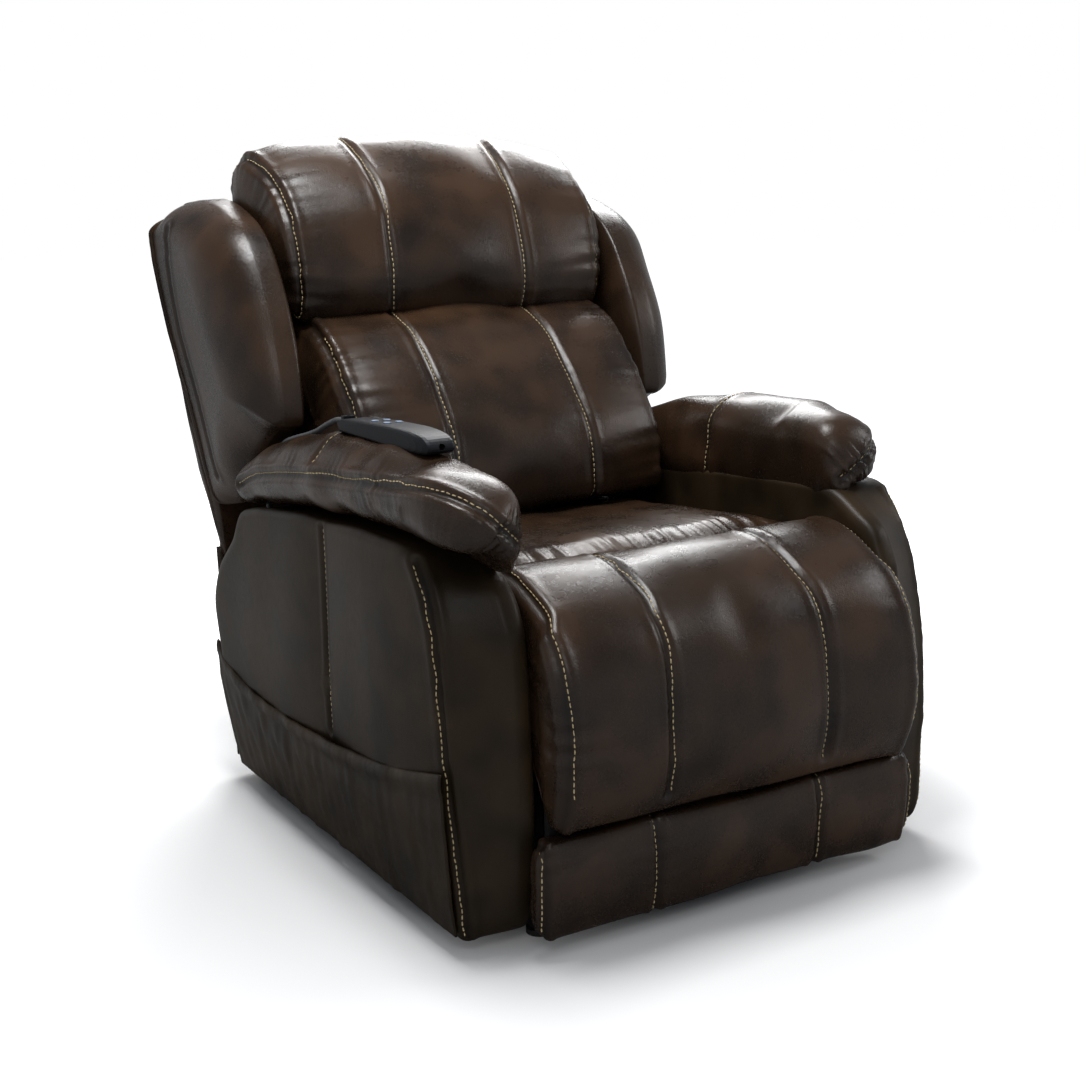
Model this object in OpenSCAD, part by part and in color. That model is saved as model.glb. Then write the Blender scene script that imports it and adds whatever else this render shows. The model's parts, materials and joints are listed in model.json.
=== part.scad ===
// Lift recliner chair: a floor base, a four-bar lift, a seat box with its two arms,
// a folding footrest, a reclining back and a corded handset, every part a solid of its own.
// Millimetres, +Z up, the sitter faces -Y and the sitter's right arm is at -X.

/* [Arms] */
// Half of the width over the outer arm faces
arm_outer = 414; // [410:1:418]
// Half of the width between the inner arm faces
arm_inner = 300; // [298:1:304]
// Depth of the hollow of the side pocket
pocket_depth = 10; // [8:1:13]

/* [Seat] */
// Height of the seat cushion's front edge above the floor
seat_top = 480; // [470:1:486]
// Number of zigzag springs under the seat
seat_springs = 5; // [3:1:6]

/* [Base] */
// Side of the square steel tubes of the floor base
tube = 25; // [22:1:26]
// Wall thickness of the steel tubes
wall = 2; // [1.5:0.5:3]
// Diameter of the four floor glides
glide = 38; // [30:1:44]

/* [Linkage] */
// Diameter of the pivot pins of the footrest and of the actuators
pin = 8; // [7:0.5:9]
// Radial running clearance of every pivot
running = 0.08; // [0.05:0.01:0.1]

/* [Handset] */
// Diameter of the four push buttons
button = 11; // [9:0.5:12]

/* [Hidden] */
$fn = 48;
shift = -26.5;
// Planes across the frame: the middle of the side rails, the inner faces of the lift's bracket
// plates and of the footrest's pivot plates, and the inner faces of the back posts
rail = arm_inner - 25.5;
plate = rail - 36.5;
pivot = plate - 16;
post = rail - 54.5;
// Half of the width over the wings
wing_outer = 426;
// The right pillow's nose reaches this far beyond y = -200, the left one lies further back
nose_right = 287;
nose_left = 196;
nose_from = -340;
// Thickness of the padded inner and outer side panels of an arm
inner_skin = 14;
outer_skin = 22;
// Timber packing between the arm's posts and its side panels
packing = (arm_outer - arm_inner - inner_skin - outer_skin) / 4;
// Half of the headrest's width, and of the footrest pads'
head_half = 308;
foot_half = 312;
// Middle of the mains inlet
inlet = -arm_outer + 64;
// Clearance between pieces that only touch
touch = 0.3;
// Pivots, each as [y, z] in the resting pose.
long_foot = [-330, 60];
long_head = [260, 140];
short_foot = [-395.4, 35.8];
short_head = [20, 80];
hinge = [300, 380];
drive_top = [-335, 320];
drive_low = [-249, 109];
idler_top = [-380.7, 364.8];
idler_low = [-294.7, 153.8];
carrier_end = [-444, 300];
stay_low = [-249, 164];
stay_end = [-444, 355];
lift_tail = [120, 52];
lift_nose = [-283.6, 202.7];
back_tail = [-90, 270];
back_nose = [342.1, 278.4];
foot_tail = [40, 285];
foot_nose = [-306.1, 285.5];

leather = [0.23, 0.16, 0.12];
steel = [0.15, 0.15, 0.16];
timber = [0.72, 0.58, 0.40];
plastic = [0.16, 0.17, 0.19];

// ---------- helpers ----------

// A [y, z] outline drawn out along X from x0 to x1.
module along_x(outline, x0, x1)
  translate([x0, 0, 0]) rotate([90, 0, 90]) linear_extrude(x1 - x0) polygon(outline);

// A disc about an X axis through the point p.
module disc(p, r, x0, x1)
  translate([x0, p[0], p[1]]) rotate([0, 90, 0]) cylinder(r = r, h = x1 - x0);

// Outline of a flat bar between two pivots, with a half round at each end.
function bar_outline(a, b, width) = let (turn = atan2(b[1] - a[1], b[0] - a[0])) [
  for (e = [0, 1], k = [-90 : 15 : 90])
    (e == 0 ? b : a) + width / 2 * [cos(turn + e * 180 + k), sin(turn + e * 180 + k)]
];

module bar(a, b, width, x0, x1) along_x(bar_outline(a, b, width), x0, x1);

// A square tube along X or along Y, open at its ends.
module tube_x(x0, x1, y, z)
  difference() {
    translate([x0, y - tube / 2, z]) cube([x1 - x0, tube, tube]);
    translate([x0 - 1, y - tube / 2 + wall, z + wall])
      cube([x1 - x0 + 2, tube - 2 * wall, tube - 2 * wall]);
  }

module tube_y(x, y0, y1, z)
  difference() {
    translate([x - tube / 2, y0, z]) cube([tube, y1 - y0, tube]);
    translate([x - tube / 2 + wall, y0 - 1, z + wall])
      cube([tube - 2 * wall, y1 - y0 + 2, tube - 2 * wall]);
  }

module block(x0, x1, y0, y1, z0, z1)
  translate([x0, y0, z0]) cube([x1 - x0, y1 - y0, z1 - z0]);

// The same thing on both sides.
module both() {
  children();
  mirror([1, 0, 0]) children();
}

// Everything is drawn about the arms and set over the middle of its own footprint.
module placed() translate([0, shift, 0]) children();

// A closed smooth run through hand-set points, n steps from each to the next.
function spline(p, n) = [
  for (i = [0 : len(p) - 1], k = [0 : n - 1])
    let (
      a = p[(i + len(p) - 1) % len(p)], b = p[i],
      c = p[(i + 1) % len(p)], d = p[(i + 2) % len(p)], t = k / n
    )
    0.5 * (2 * b + (c - a) * t + (2 * a - 5 * b + 4 * c - d) * t * t
      + (3 * b - a - 3 * c + d) * t * t * t)
];

function middle(p) = [for (k = [0, 1]) (max([for (q = p) q[k]]) + min([for (q = p) q[k]])) / 2];

// A stuffed form: a [y, z] outline lofted along X, drawn in towards its middle at the ends.
// Each station is [x, share of the full size]. Noses, if given, draw what lies ahead of
// the arms' upper corner in or out by a share for each station.
module stuffed(outline, stations, noses = []) {
  m = middle(outline);
  n = len(outline);
  rings = len(stations);
  points = [
    for (k = [0 : len(stations) - 1], q = outline)
      let (
        s = stations[k], y = m[0] + s[1] * (q[0] - m[0]), z = m[1] + s[1] * (q[1] - m[1]),
        share = len(noses) > 0 ? noses[k] : 1
      )
      [s[0], y < nose_from ? nose_from + (y - nose_from) * share : y, z]
  ];
  sides = [
    for (r = [0 : rings - 2], i = [0 : n - 1], half = [0, 1])
      let (j = (i + 1) % n, a = r * n, b = (r + 1) * n)
      half == 0 ? [a + i, b + j, a + j] : [a + i, b + i, b + j]
  ];
  first = [for (i = [0 : n - 1]) i];
  last = [for (i = [n - 1 : -1 : 0]) (rings - 1) * n + i];
  polyhedron(points = points, faces = concat([first], sides, [last]));
}

// Stations of a form with round ends of the given depth, from x0 to x1.
function round_ends(x0, x1, deep, least) = concat(
  [for (k = [0 : 4]) [x0 + deep * (1 - cos(k * 22.5)), least + (1 - least) * sin(k * 22.5)]],
  [for (k = [4 : -1 : 0]) [x1 - deep * (1 - cos(k * 22.5)), least + (1 - least) * sin(k * 22.5)]]
);

// ---------- floor base ----------

module base_runners()
  color(steel) placed() both() tube_y(rail, -440, 380, 8);

module cross(y) color(steel) placed() tube_x(-rail + tube / 2, rail - tube / 2, y, 8);

module base_front_tube() cross(-427.5);
module base_rear_tube() cross(359.5);

module base_middle_tube() {
  cross(119.5);
  // Clevis plates of the lift motor
  color(steel) placed() both() difference() {
    along_x([[102, 33], [137, 33], [130, 64], [110, 64]], 21, 26);
    disc(lift_tail, pin / 2 + running, 20, 27);
  }
}

module base_glides()
  color([0.1, 0.1, 0.1]) placed()
    for (x = [-rail, rail], y = [-415, 355]) translate([x, y, 0]) cylinder(d = glide, h = 8);

module base_link_brackets()
  color(steel) placed() both() {
    along_x([[-415, 12], [-312, 12], [-314, 76], [-346, 76], [-415, 50]], plate, plate + 6);
    disc(long_foot, 5, plate - 14, plate);
    disc(short_foot, 5, plate + 6, plate + 16);
  }

// ---------- lift linkage ----------

module long_lift_links()
  color(steel) placed() both() difference() {
    bar(long_foot, long_head, 30, plate - 8, plate - 2);
    disc(long_foot, 5 + running, plate - 9, plate - 1);
    disc(long_head, 5 + running, plate - 9, plate - 1);
  }

module lift_torque_tube()
  color(steel) placed() {
    difference() {
      union() {
        disc(long_foot, 12.5, -plate + 8, plate - 8);
        // Levers that the lift rod pushes
        both() bar(long_foot, lift_nose, 26, 12, 17);
      }
      disc(long_foot, 10.5, -plate + 7, plate - 7);
    }
    disc(lift_nose, pin / 2, -12, 12);
  }

module short_lift_links()
  color(steel) placed() both() difference() {
    bar(short_foot, short_head, 28, plate + 9, plate + 15);
    disc(short_foot, 5 + running, plate + 8, plate + 16);
    disc(short_head, 5.4, plate + 8, plate + 16);
  }

// A linear actuator: the motor and its outer tube, drawn along +Y from the tail pivot.
module actuator_body(long)
  difference() {
    union() {
      disc([0, 0], 11, -9, 9);
      block(-9, 9, 0, 26, -11, 11);
      block(-19, 19, 22, 84, -20, 20);
      translate([0, 84, 0]) rotate([-90, 0, 0]) cylinder(d = 34, h = long - 84);
      // The gear motor lies alongside the tube
      translate([30, 30, 0]) rotate([-90, 0, 0]) cylinder(d = 38, h = 118);
      block(10, 30, 30, 80, -16, 16);
    }
    disc([0, 0], pin / 2 + running, -10, 10);
    translate([0, 60, 0]) rotate([-90, 0, 0]) cylinder(d = 20.4, h = long);
  }

// Its rod with a slotted eye round the lever pin.
module actuator_rod(reach, start, eye)
  difference() {
    union() {
      translate([0, start, 0]) rotate([-90, 0, 0]) cylinder(d = 20, h = reach - eye - 5 - start);
      disc([reach, 0], eye + 6, -8, 8);
      block(-8, 8, reach - eye - 14, reach, -9, 9);
    }
    disc([reach, 0], eye, -9, 9);
  }

module aimed(x, tail, turn) placed() translate([x, tail[0], tail[1]]) rotate([turn, 0, 0]) children();

module tail_pin(x, tail, half) placed() disc(tail, pin / 2, x - half, x + half);

module lift_motor() {
  color(plastic) aimed(0, lift_tail, 159.18) actuator_body(330);
  color(plastic) tail_pin(0, lift_tail, 21);
}
module lift_rod() color([0.7, 0.7, 0.72]) aimed(0, lift_tail, 159.18) actuator_rod(432, 200, 7.3);

// ---------- seat box ----------

module chair_rails() color(steel) placed() both() tube_y(rail, -392, 330, 175);

module chair_cross_tubes()
  color(steel) placed() {
    for (y = [20, 260]) tube_x(-rail + tube / 2, rail - tube / 2, y, 175);
    // Tail clevises of the footrest motor and of the recline motor
    for (x = [65, 111]) difference() {
      along_x([[7.5, 200], [32.5, 200], [54, 285], [40, 300], [26, 285]], x, x + 4);
      disc(foot_tail, pin / 2 + running, x - 1, x + 5);
    }
    tube_x(-rail - tube / 2, rail + tube / 2, -90, 200);
    for (x = [-115, -69]) difference() {
      along_x([[-102, 225], [-78, 225], [-76, 270], [-84, 284], [-96, 284], [-104, 270]], x, x + 4);
      disc(back_tail, pin / 2 + running, x - 1, x + 5);
    }
  }

module chair_posts()
  color(steel) placed() both() {
    for (y = [-290, 150]) block(rail - 12.5, rail + 12.5, y, y + 25, 200, 345);
    difference() {
      block(rail - 12.5, rail + 12.5, 288, 313, 200, 404);
      block(rail - 10.5, rail + 10.5, 290, 311, 199, 402);
    }
    along_x([[288, 330], [313, 330], [313, 404], [288, 404]], rail - 17.5, rail - 12.5);
    disc(hinge, 6, rail - 34.5, rail - 17.5);
  }

module lift_head_plates()
  color(steel) placed() both() {
    along_x([[2, 62], [40, 62], [120, 120], [284, 122], [284, 175], [2, 175]], plate, plate + 6);
    disc(long_head, 5, plate - 14, plate);
    disc(short_head, 5, plate + 6, plate + 16);
  }

module footrest_pivot_plates()
  color(steel) placed() both() {
    along_x(
      [[-394, 352], [-350, 304], [-320, 304], [-280, 330], [-250, 330], [-250, 366.7],
        [-299, 366.7], [-299, 376], [-394, 378]],
      pivot, pivot + 6
    );
    disc(drive_top, pin / 2, pivot - 8.5, pivot);
    disc(idler_top, pin / 2, pivot - 8.5, pivot);
  }

// Side boards, the front and rear spring boards with their corner blocks, and the knee shelf
module seat_boards()
  color(timber) placed() {
    both() block(pivot + 6, arm_inner, -392, 282, 345, 367);
    block(-arm_inner, arm_inner, -298, -278, 367, 397);
    block(-arm_inner, arm_inner, 220, 242, 367, 397);
    both() block(pivot + 6, arm_inner, -392, -300, 367, 383);
    block(-arm_inner, arm_inner, -392, -300, 383, 398);
  }

// Zigzag wire springs from the front board to the rear board
module seat_springs()
  color([0.5, 0.5, 0.52]) placed()
    for (s = [0 : seat_springs - 1]) translate([(s - (seat_springs - 1) / 2) * 92, 0, 0]) {
      for (k = [0 : 15]) translate([0, -275.6 + k * 32.3, 390]) {
        translate([-15, 0, 0]) rotate([0, 90, 0]) cylinder(d = 4, h = 30, $fn = 16);
        if (k < 15) translate([k % 2 == 0 ? 15 : -15, 0, 0])
          rotate([-90, 0, 0]) cylinder(d = 4, h = 32.3, $fn = 16);
        for (x = [-15, 15]) translate([x, 0, 0]) sphere(d = 4, $fn = 16);
      }
      block(-4, 4, -278, -272, 388, 397);
      block(-4, 4, 208, 220, 388, 397);
    }

module seat_cushion()
  color(leather) placed() stuffed(
    spline([[-291, 412], [-291.5, 460], [-268, seat_top], [-150, seat_top - 2], [20, seat_top - 14],
      [200, seat_top - 24], [214, 440], [205, 400], [0, 398], [-240, 398]], 4),
    round_ends(-arm_inner + touch, arm_inner - touch, 22, 0.8)
  );

module knee_roll()
  color(leather) placed() stuffed(
    spline([[-299.5, 440], [-302, 478], [-330, 500], [-380, 498], [-430, 478], [-478, 450],
      [-500, 431], [-480, 427.5], [-440, 424], [-380, 402], [-320, 402]], 4),
    round_ends(-arm_inner + 3, arm_inner - 3, 22, 0.8)
  );

module rear_panel()
  color(leather) placed() difference() {
    block(-arm_outer + 10, arm_outer - 10, 413, 427, 40, 188);
    block(inlet - 20.2, inlet + 20.2, 412, 428, 93.8, 126.2);
  }

// ---------- arms, drawn on the +X side ----------

front_edge = [[-458, 21], [-461, 50], [-452, 105], [-441, 161], [-423, 266], [-412, 358],
  [-400, 440], [-376, 500], [-340, 545]];

// The pillow on top of the arm: its underside, from front to rear, is also the arm's upper edge
pad_under = [[-332, 566], [-184, 549], [3, 539], [211, 518], [290, 500]];
pad_outline = spline(concat([[312, 530], [300, 568], [206, 612], [90, 636], [-16, 650],
  [-120, 655], [-233, 657], [-379, 645], [-452, 622], [-486, 590], [-487, 560], [-455, 548],
  [-400, 551]], pad_under), 3);
arm_outline = concat(front_edge, [for (k = [39 : 48]) pad_outline[k] - [0, 0.4]],
  [[315, 448], [393, 384], [425, 324], [414, 255], [409, 21]]);

module arm_outer_panel()
  color(leather) placed() stuffed(arm_outline, [
    [arm_outer - outer_skin, 1], [arm_outer - 8, 1], [arm_outer - 2.5, 0.995], [arm_outer, 0.98]
  ]);
module arm_outer_panel_left() arm_outer_panel();
module arm_outer_panel_right() mirror([1, 0, 0]) arm_outer_panel();

module arm_inner_panel()
  color(leather) placed() stuffed(arm_outline, [
    [arm_inner, 0.985], [arm_inner + 4, 1], [arm_inner + inner_skin, 1]
  ]);
module arm_inner_panel_left() arm_inner_panel();
module arm_inner_panel_right() mirror([1, 0, 0]) arm_inner_panel();

// The padded front between the two side panels, swelling forward
module arm_front()
  color(leather) placed() {
    inside = [for (k = [len(front_edge) - 1 : -1 : 0]) front_edge[k] + [24, 0]];
    difference() {
      along_x(concat([for (p = front_edge) p + [-8, 0]], inside),
        arm_inner + inner_skin + touch, arm_outer - outer_skin - touch);
      along_x([[-500, 10], [-400, 10], [-400, 21], [-500, 21]], arm_inner, arm_outer);
    }
  }
module arm_front_left() arm_front();
module arm_front_right() mirror([1, 0, 0]) arm_front();

// Timber inside the arm: bottom rail, top rail, two posts
module arm_frame()
  color(timber) placed() {
    near = arm_inner + inner_skin + packing;
    far = arm_outer - outer_skin - packing;
    block(near, far, -425, 404, 30, 70);
    block(near, far, -330, 150, 480, 505);
    block(near, far, -330, -290, 70, 480);
    block(near, far, 110, 150, 70, 480);
    block(near, far, 360, 404, 70, 350);
    for (x = [near - packing, far], y = [-320, 120, 368])
      block(x, x + packing, y, y + 24, 180, 340);
  }
module arm_frame_left() arm_frame();
module arm_frame_right() mirror([1, 0, 0]) arm_frame();

// How far the nose reaches at a given x: it is round in plan, furthest forward above the arm
function nose_at(x, reach) = reach - 215 * (1 - sqrt(max(0, 1 - pow((x - arm_inner - 50) / 79, 2))));

// Its outer half rests on the side panel, its inner edge swells over the seat
module arm_pad(reach) {
  stations = [
    [arm_inner - 6.5, 0.76], [arm_inner - 4, 0.83], [arm_inner + 3, 0.91], [arm_inner + 16, 0.97],
    [arm_inner + 40, 1], [arm_outer - 40, 1], [arm_outer - 18, 0.99], [arm_outer - 6, 0.97],
    [arm_outer + 6, 0.92], [arm_outer + 12, 0.84], [arm_outer + 14, 0.8]
  ];
  color(leather) placed() stuffed(pad_outline, stations,
    [for (s = stations) max(0.2, (nose_at(s[0], reach) - 140) / 147)]);
}
module arm_pad_left() arm_pad(nose_left);
module arm_pad_right() mirror([1, 0, 0]) arm_pad(nose_right);

pocket_mouth = [[430, 250], [382, 222], [266, 200], [92, 197], [-111, 209], [-287, 231], [-430, 262]];

module side_pocket()
  color(leather) placed() difference() {
    along_x(concat(pocket_mouth, [[-448, 120], [-448, 34], [405, 34], [412, 150]]),
      -arm_outer - pocket_depth - 4, -arm_outer - 0.3);
    along_x([[420, 290], [-426, 290], [-436, 120], [-436, 50], [395, 50], [400, 150]],
      -arm_outer - pocket_depth, -arm_outer + 1);
  }

// ---------- footrest ----------

module drive_links()
  color(steel) placed() both() difference() {
    union() {
      bar(drive_top, drive_low, 22, pivot - 8, pivot - 2);
      bar(stay_low + [-9, -6], stay_low, 24, pivot - 8, pivot - 2);
    }
    for (p = [drive_top, drive_low, stay_low]) disc(p, pin / 2 + running, pivot - 9, pivot - 1);
  }

module drive_tube()
  color(steel) placed() {
    difference() {
      union() {
        disc(drive_top, 12.5, -pivot + 8, pivot - 8);
        for (x = [78, 98]) bar(drive_top, foot_nose, 20, x, x + 4);
      }
      disc(drive_top, 10.5, -pivot + 7, pivot - 7);
    }
    disc(foot_nose, pin / 2, 82, 98);
  }

module idler_links()
  color(steel) placed() both() difference() {
    bar(idler_top, idler_low, 18, pivot - 8, pivot - 2);
    for (p = [idler_top, idler_low]) disc(p, pin / 2 + running, pivot - 9, pivot - 1);
  }

module carrier_links()
  color(steel) placed() both() {
    bar(drive_low, carrier_end, 20, pivot - 16, pivot - 10);
    for (p = [drive_low, idler_low, carrier_end]) disc(p, pin / 2, pivot - 10, pivot - 0.5);
  }

module stay_links()
  color(steel) placed() both() {
    bar(stay_low, stay_end, 20, pivot - 16, pivot - 10);
    for (p = [stay_low, stay_end]) disc(p, pin / 2, pivot - 10, pivot - 0.5);
  }

module footrest_board()
  color(timber) placed() block(-foot_half + 24, foot_half - 24, -470.5, -458.5, 44, 420);

module footrest_brackets()
  color(steel) placed() both() difference() {
    union() {
      along_x([[-458.5, 280], [-436, 284], [-432, 300], [-432, 356], [-436, 370], [-458.5, 374]],
        pivot - 8, pivot - 2);
      block(pivot - 8, pivot + 14, -458.5, -455.5, 270, 384);
    }
    for (p = [carrier_end, stay_end]) disc(p, pin / 2 + running, pivot - 9, pivot - 1);
  }

module footrest_pad()
  color(leather) placed() stuffed(
    spline([[-498, 425], [-519, 400], [-536, 350], [-541, 290], [-536, 230], [-516, 176],
      [-490, 168], [-472.5, 182], [-471, 300], [-472.5, 414], [-480, 425]], 3),
    round_ends(-foot_half, foot_half, 24, 0.86)
  );

module lower_foot_pad()
  color(leather) placed() stuffed(
    spline([[-488, 27], [-503, 36], [-510, 100], [-505, 158], [-488, 166], [-473, 158], [-471, 100],
      [-473, 36]], 4),
    round_ends(-foot_half, foot_half, 20, 0.8)
  );

module footrest_motor() {
  color(plastic) aimed(90, foot_tail, 180.741) mirror([1, 0, 0]) actuator_body(300);
  color(plastic) tail_pin(90, foot_tail, 21);
}
module footrest_rod()
  color([0.7, 0.7, 0.72]) aimed(90, foot_tail, 180.741) actuator_rod(345.2, 180, 10.2);

// ---------- back ----------

// Leaning line of the back frame, [y, z] at a height z
function lean(z) = 322 + (z - 400) * 0.298;

module recline_tube()
  color(steel) placed() {
    difference() {
      union() {
        disc(hinge, 12.5, -post - 28, post + 28);
        for (x = [-102, -82]) bar(hinge, back_nose, 24, x, x + 4);
      }
      disc(hinge, 10.5, -post - 29, post + 29);
    }
    both() difference() {
      bar(hinge, [362, 450], 44, post + 28, post + 34);
      disc(hinge, 6 + running, post + 27, post + 35);
    }
    disc(back_nose, pin / 2, -98, -82);
  }

module back_posts()
  color(timber) placed() both()
    along_x([[lean(430), 430], [lean(430) + 44, 418], [lean(956) + 44, 944], [lean(956), 956]],
      post, post + 28);

// Cross rails between the posts and short ones out to the wings
module back_rails()
  color(timber) placed() for (z = [440, 690, 898]) {
    // The lowest pair starts beside the steel arms of the hinge tube and swings between the arms
    side = z == 440 ? post + 34 : post + 28;
    end = z == 440 ? arm_inner - 1 : head_half + touch;
    for (x = [[-post, post], [side, end], [-end, -side]])
      along_x([[lean(z) + 6, z], [lean(z) + 28, z - 6.5], [lean(z + 56) + 28, z + 49.5],
        [lean(z + 56) + 6, z + 56]], x[0], x[1]);
  }

module lumbar_cushion()
  color(leather) placed() stuffed(
    spline([[300, 812], [232, 788], [180, 752], [110, 673], [66, 603], [49, 545], [52, 500],
      [90, 484], [200, 480], [300, 478], [344, 488], [391, 640], [427, 764], [404, 806]], 3),
    round_ends(-arm_inner + 11, arm_inner - 11, 26, 0.84)
  );

module headrest_cushion()
  color(leather) placed() stuffed(
    spline([[500, 1080], [460, 1091], [404, 1070], [350, 1036], [296, 972], [275, 901],
      [290, 845], [330, 819], [436, 815], [464, 890], [485, 962], [504, 1000], [516, 1050]], 3),
    round_ends(-head_half, head_half, 30, 0.84)
  );

wing_outline = spline([[200, 650], [218, 754], [264, 858], [328, 946], [424, 996], [512, 1012],
  [562, 990], [569, 900], [544, 780], [506, 620], [477, 500], [420, 486], [360, 528], [306, 592],
  [240, 630]], 3);

module wing()
  color(leather) placed() stuffed(wing_outline, [
    [head_half + touch, 0.9], [head_half + 8, 0.96], [head_half + 24, 1], [wing_outer - 42, 1],
    [wing_outer - 22, 0.98], [wing_outer - 8, 0.94], [wing_outer, 0.86]
  ]);
module wing_left() wing();
module wing_right() mirror([1, 0, 0]) wing();

module outside_back()
  color(leather) placed() difference() {
    along_x([[484, 396], [498, 394], [500, 480], [530, 620], [568, 780], [594, 900], [590, 998],
      [572, 1006], [569, 990], [575, 900], [549, 780], [511, 620], [481, 500]],
      -wing_outer + 14, wing_outer - 14);
    for (s = [-1, 1]) translate([s * (wing_outer + 32), 550, 1036]) rotate([90, 0, 0])
      cylinder(r = 104, h = 200, center = true);
  }

module recline_motor() {
  color(plastic) aimed(-90, back_tail, 0.551) actuator_body(318);
  color(plastic) tail_pin(-90, back_tail, 21);
}
module recline_rod()
  color([0.7, 0.7, 0.72]) aimed(-90, back_tail, 0.551) actuator_rod(432.5, 200, 9.4);

// ---------- handset, cord and inlet ----------

// Everything of the handset is drawn along -Y from its tail and laid on the pad.
module on_pad() placed() translate([-352, -30, 661.8]) rotate([1.2, 0, 0]) children();

module handset()
  color(plastic) on_pad() difference() {
    union() {
      stuffed(
        spline([[0, 4], [-2, 15], [-60, 22], [-150, 27], [-230, 29], [-280, 25], [-298, 14],
          [-290, 3], [-240, 0], [-120, 0], [-20, 0]], 4),
        round_ends(-26, 26, 10, 0.7)
      );
      // Strain relief of the cord
      translate([0, 14, 9]) rotate([90, 0, 0]) cylinder(d1 = 11, d2 = 13, h = 15);
      // Hanging loop at the tail
      difference() {
        block(-9, 9, 0, 10, 15, 19);
        translate([0, 5, 14]) cylinder(d = 5, h = 6);
      }
    }
    for (p = button_places) translate([p[0], p[1], 12]) cylinder(d = button + 0.6, h = 30);
    // Round charging socket in the nose
    translate([0, -284, 13]) rotate([90, 0, 0]) cylinder(d = 9, h = 30);
  }

button_places = [[-9, -110], [9, -110], [-9, -150], [9, -150]];

module push_button(k)
  color([0.55, 0.6, 0.7]) on_pad()
    translate([button_places[k][0], button_places[k][1], k < 2 ? 14.6 : 16.6])
      cylinder(d = button, h = 12);
module button_back_down() push_button(0);
module button_back_up() push_button(1);
module button_chair_down() push_button(2);
module button_chair_up() push_button(3);

// The curled cord as one thick line: along the pad, over its rear edge, down between the pad
// and the wing and into the hollow of the arm
cord_route = [[-352, -16.2, 671.1], [-352, 14, 670.6], [-354, 50, 660], [-357, 86, 646.5],
  [-360, 124, 636.5], [-361, 170, 627], [-360, 214, 615.5], [-358, 258, 597.5], [-356, 296, 581],
  [-355, 316, 558], [-354, 322, 520], [-353, 324, 480], [-352, 336, 440], [-352, 360, 400],
  [-352, 374, 372], [-352, 376, 350]];

function mix(a, b, t) = a * (1 - t) + b * t;
function cord_at(u) = let (
    i = min(floor(u), len(cord_route) - 2), t = u - i,
    a = cord_route[max(i - 1, 0)], b = cord_route[i], c = cord_route[i + 1],
    d = cord_route[min(i + 2, len(cord_route) - 1)]
  )
  0.5 * (2 * b + (c - a) * t + (2 * a - 5 * b + 4 * c - d) * t * t
    + (3 * b - a - 3 * c + d) * t * t * t);

module handset_cord() {
  steps = 60;
  sides = 8;
  top = len(cord_route) - 1;
  points = [
    for (k = [0 : steps], s = [0 : sides - 1])
      let (
        u = k * top / steps,
        way = cord_at(min(u + 0.02, top)) - cord_at(max(u - 0.02, 0)),
        w = k == 0 ? [0, cos(1.2), sin(1.2)] : way / norm(way),
        across = cross(w, [1, 0, 0]) / norm(cross(w, [1, 0, 0])),
        over = cross(w, across)
      )
      cord_at(u) + 4.5 * (cos(s * 360 / sides) * across + sin(s * 360 / sides) * over)
  ];
  skin = [
    for (k = [0 : steps - 1], s = [0 : sides - 1], half = [0, 1])
      let (j = (s + 1) % sides, a = k * sides, b = (k + 1) * sides)
      half == 0 ? [a + s, b + j, a + j] : [a + s, b + s, b + j]
  ];
  color([0.4, 0.4, 0.42]) placed() polyhedron(
    points = points,
    faces = concat([[for (s = [0 : sides - 1]) s]], skin,
      [[for (s = [sides - 1 : -1 : 0]) steps * sides + s]])
  );
}

// Mains inlet at the lower rear, where the lead is plugged in
module power_inlet()
  color(plastic) placed() difference() {
    block(inlet - 20, inlet + 20, 410, 432, 94, 126);
    block(inlet - 12, inlet + 12, 422, 433, 101, 119);
  }

base_runners();
base_front_tube();
base_middle_tube();
base_rear_tube();
base_glides();
base_link_brackets();
long_lift_links();
lift_torque_tube();
short_lift_links();
lift_motor();
lift_rod();
chair_rails();
chair_cross_tubes();
chair_posts();
lift_head_plates();
footrest_pivot_plates();
seat_boards();
seat_springs();
seat_cushion();
knee_roll();
rear_panel();
arm_outer_panel_left();
arm_outer_panel_right();
arm_inner_panel_left();
arm_inner_panel_right();
arm_front_left();
arm_front_right();
arm_frame_left();
arm_frame_right();
arm_pad_left();
arm_pad_right();
side_pocket();
drive_links();
drive_tube();
idler_links();
carrier_links();
stay_links();
footrest_board();
footrest_brackets();
footrest_pad();
lower_foot_pad();
footrest_motor();
footrest_rod();
recline_tube();
back_posts();
back_rails();
lumbar_cushion();
headrest_cushion();
wing_left();
wing_right();
outside_back();
recline_motor();
recline_rod();
handset();
button_back_down();
button_back_up();
button_chair_down();
button_chair_up();
handset_cord();
power_inlet();
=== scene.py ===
# %% [markdown]
# A lift recliner is a steel base, a seat box with two arms, a folding footrest and a back, all of
# them exact solids that are loaded here as a fixed frame. What this file makes is everything that
# is soft or fine: the stuffed leather pieces, their seams and stitches, the pocket, the cord and
# the materials. The frame comes first, so that every later piece can be set against it.
# %% Load the frame
import json
import math

import bpy
import numpy as np
from mathutils import Matrix, Vector
from mathutils.bvhtree import BVHTree


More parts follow.
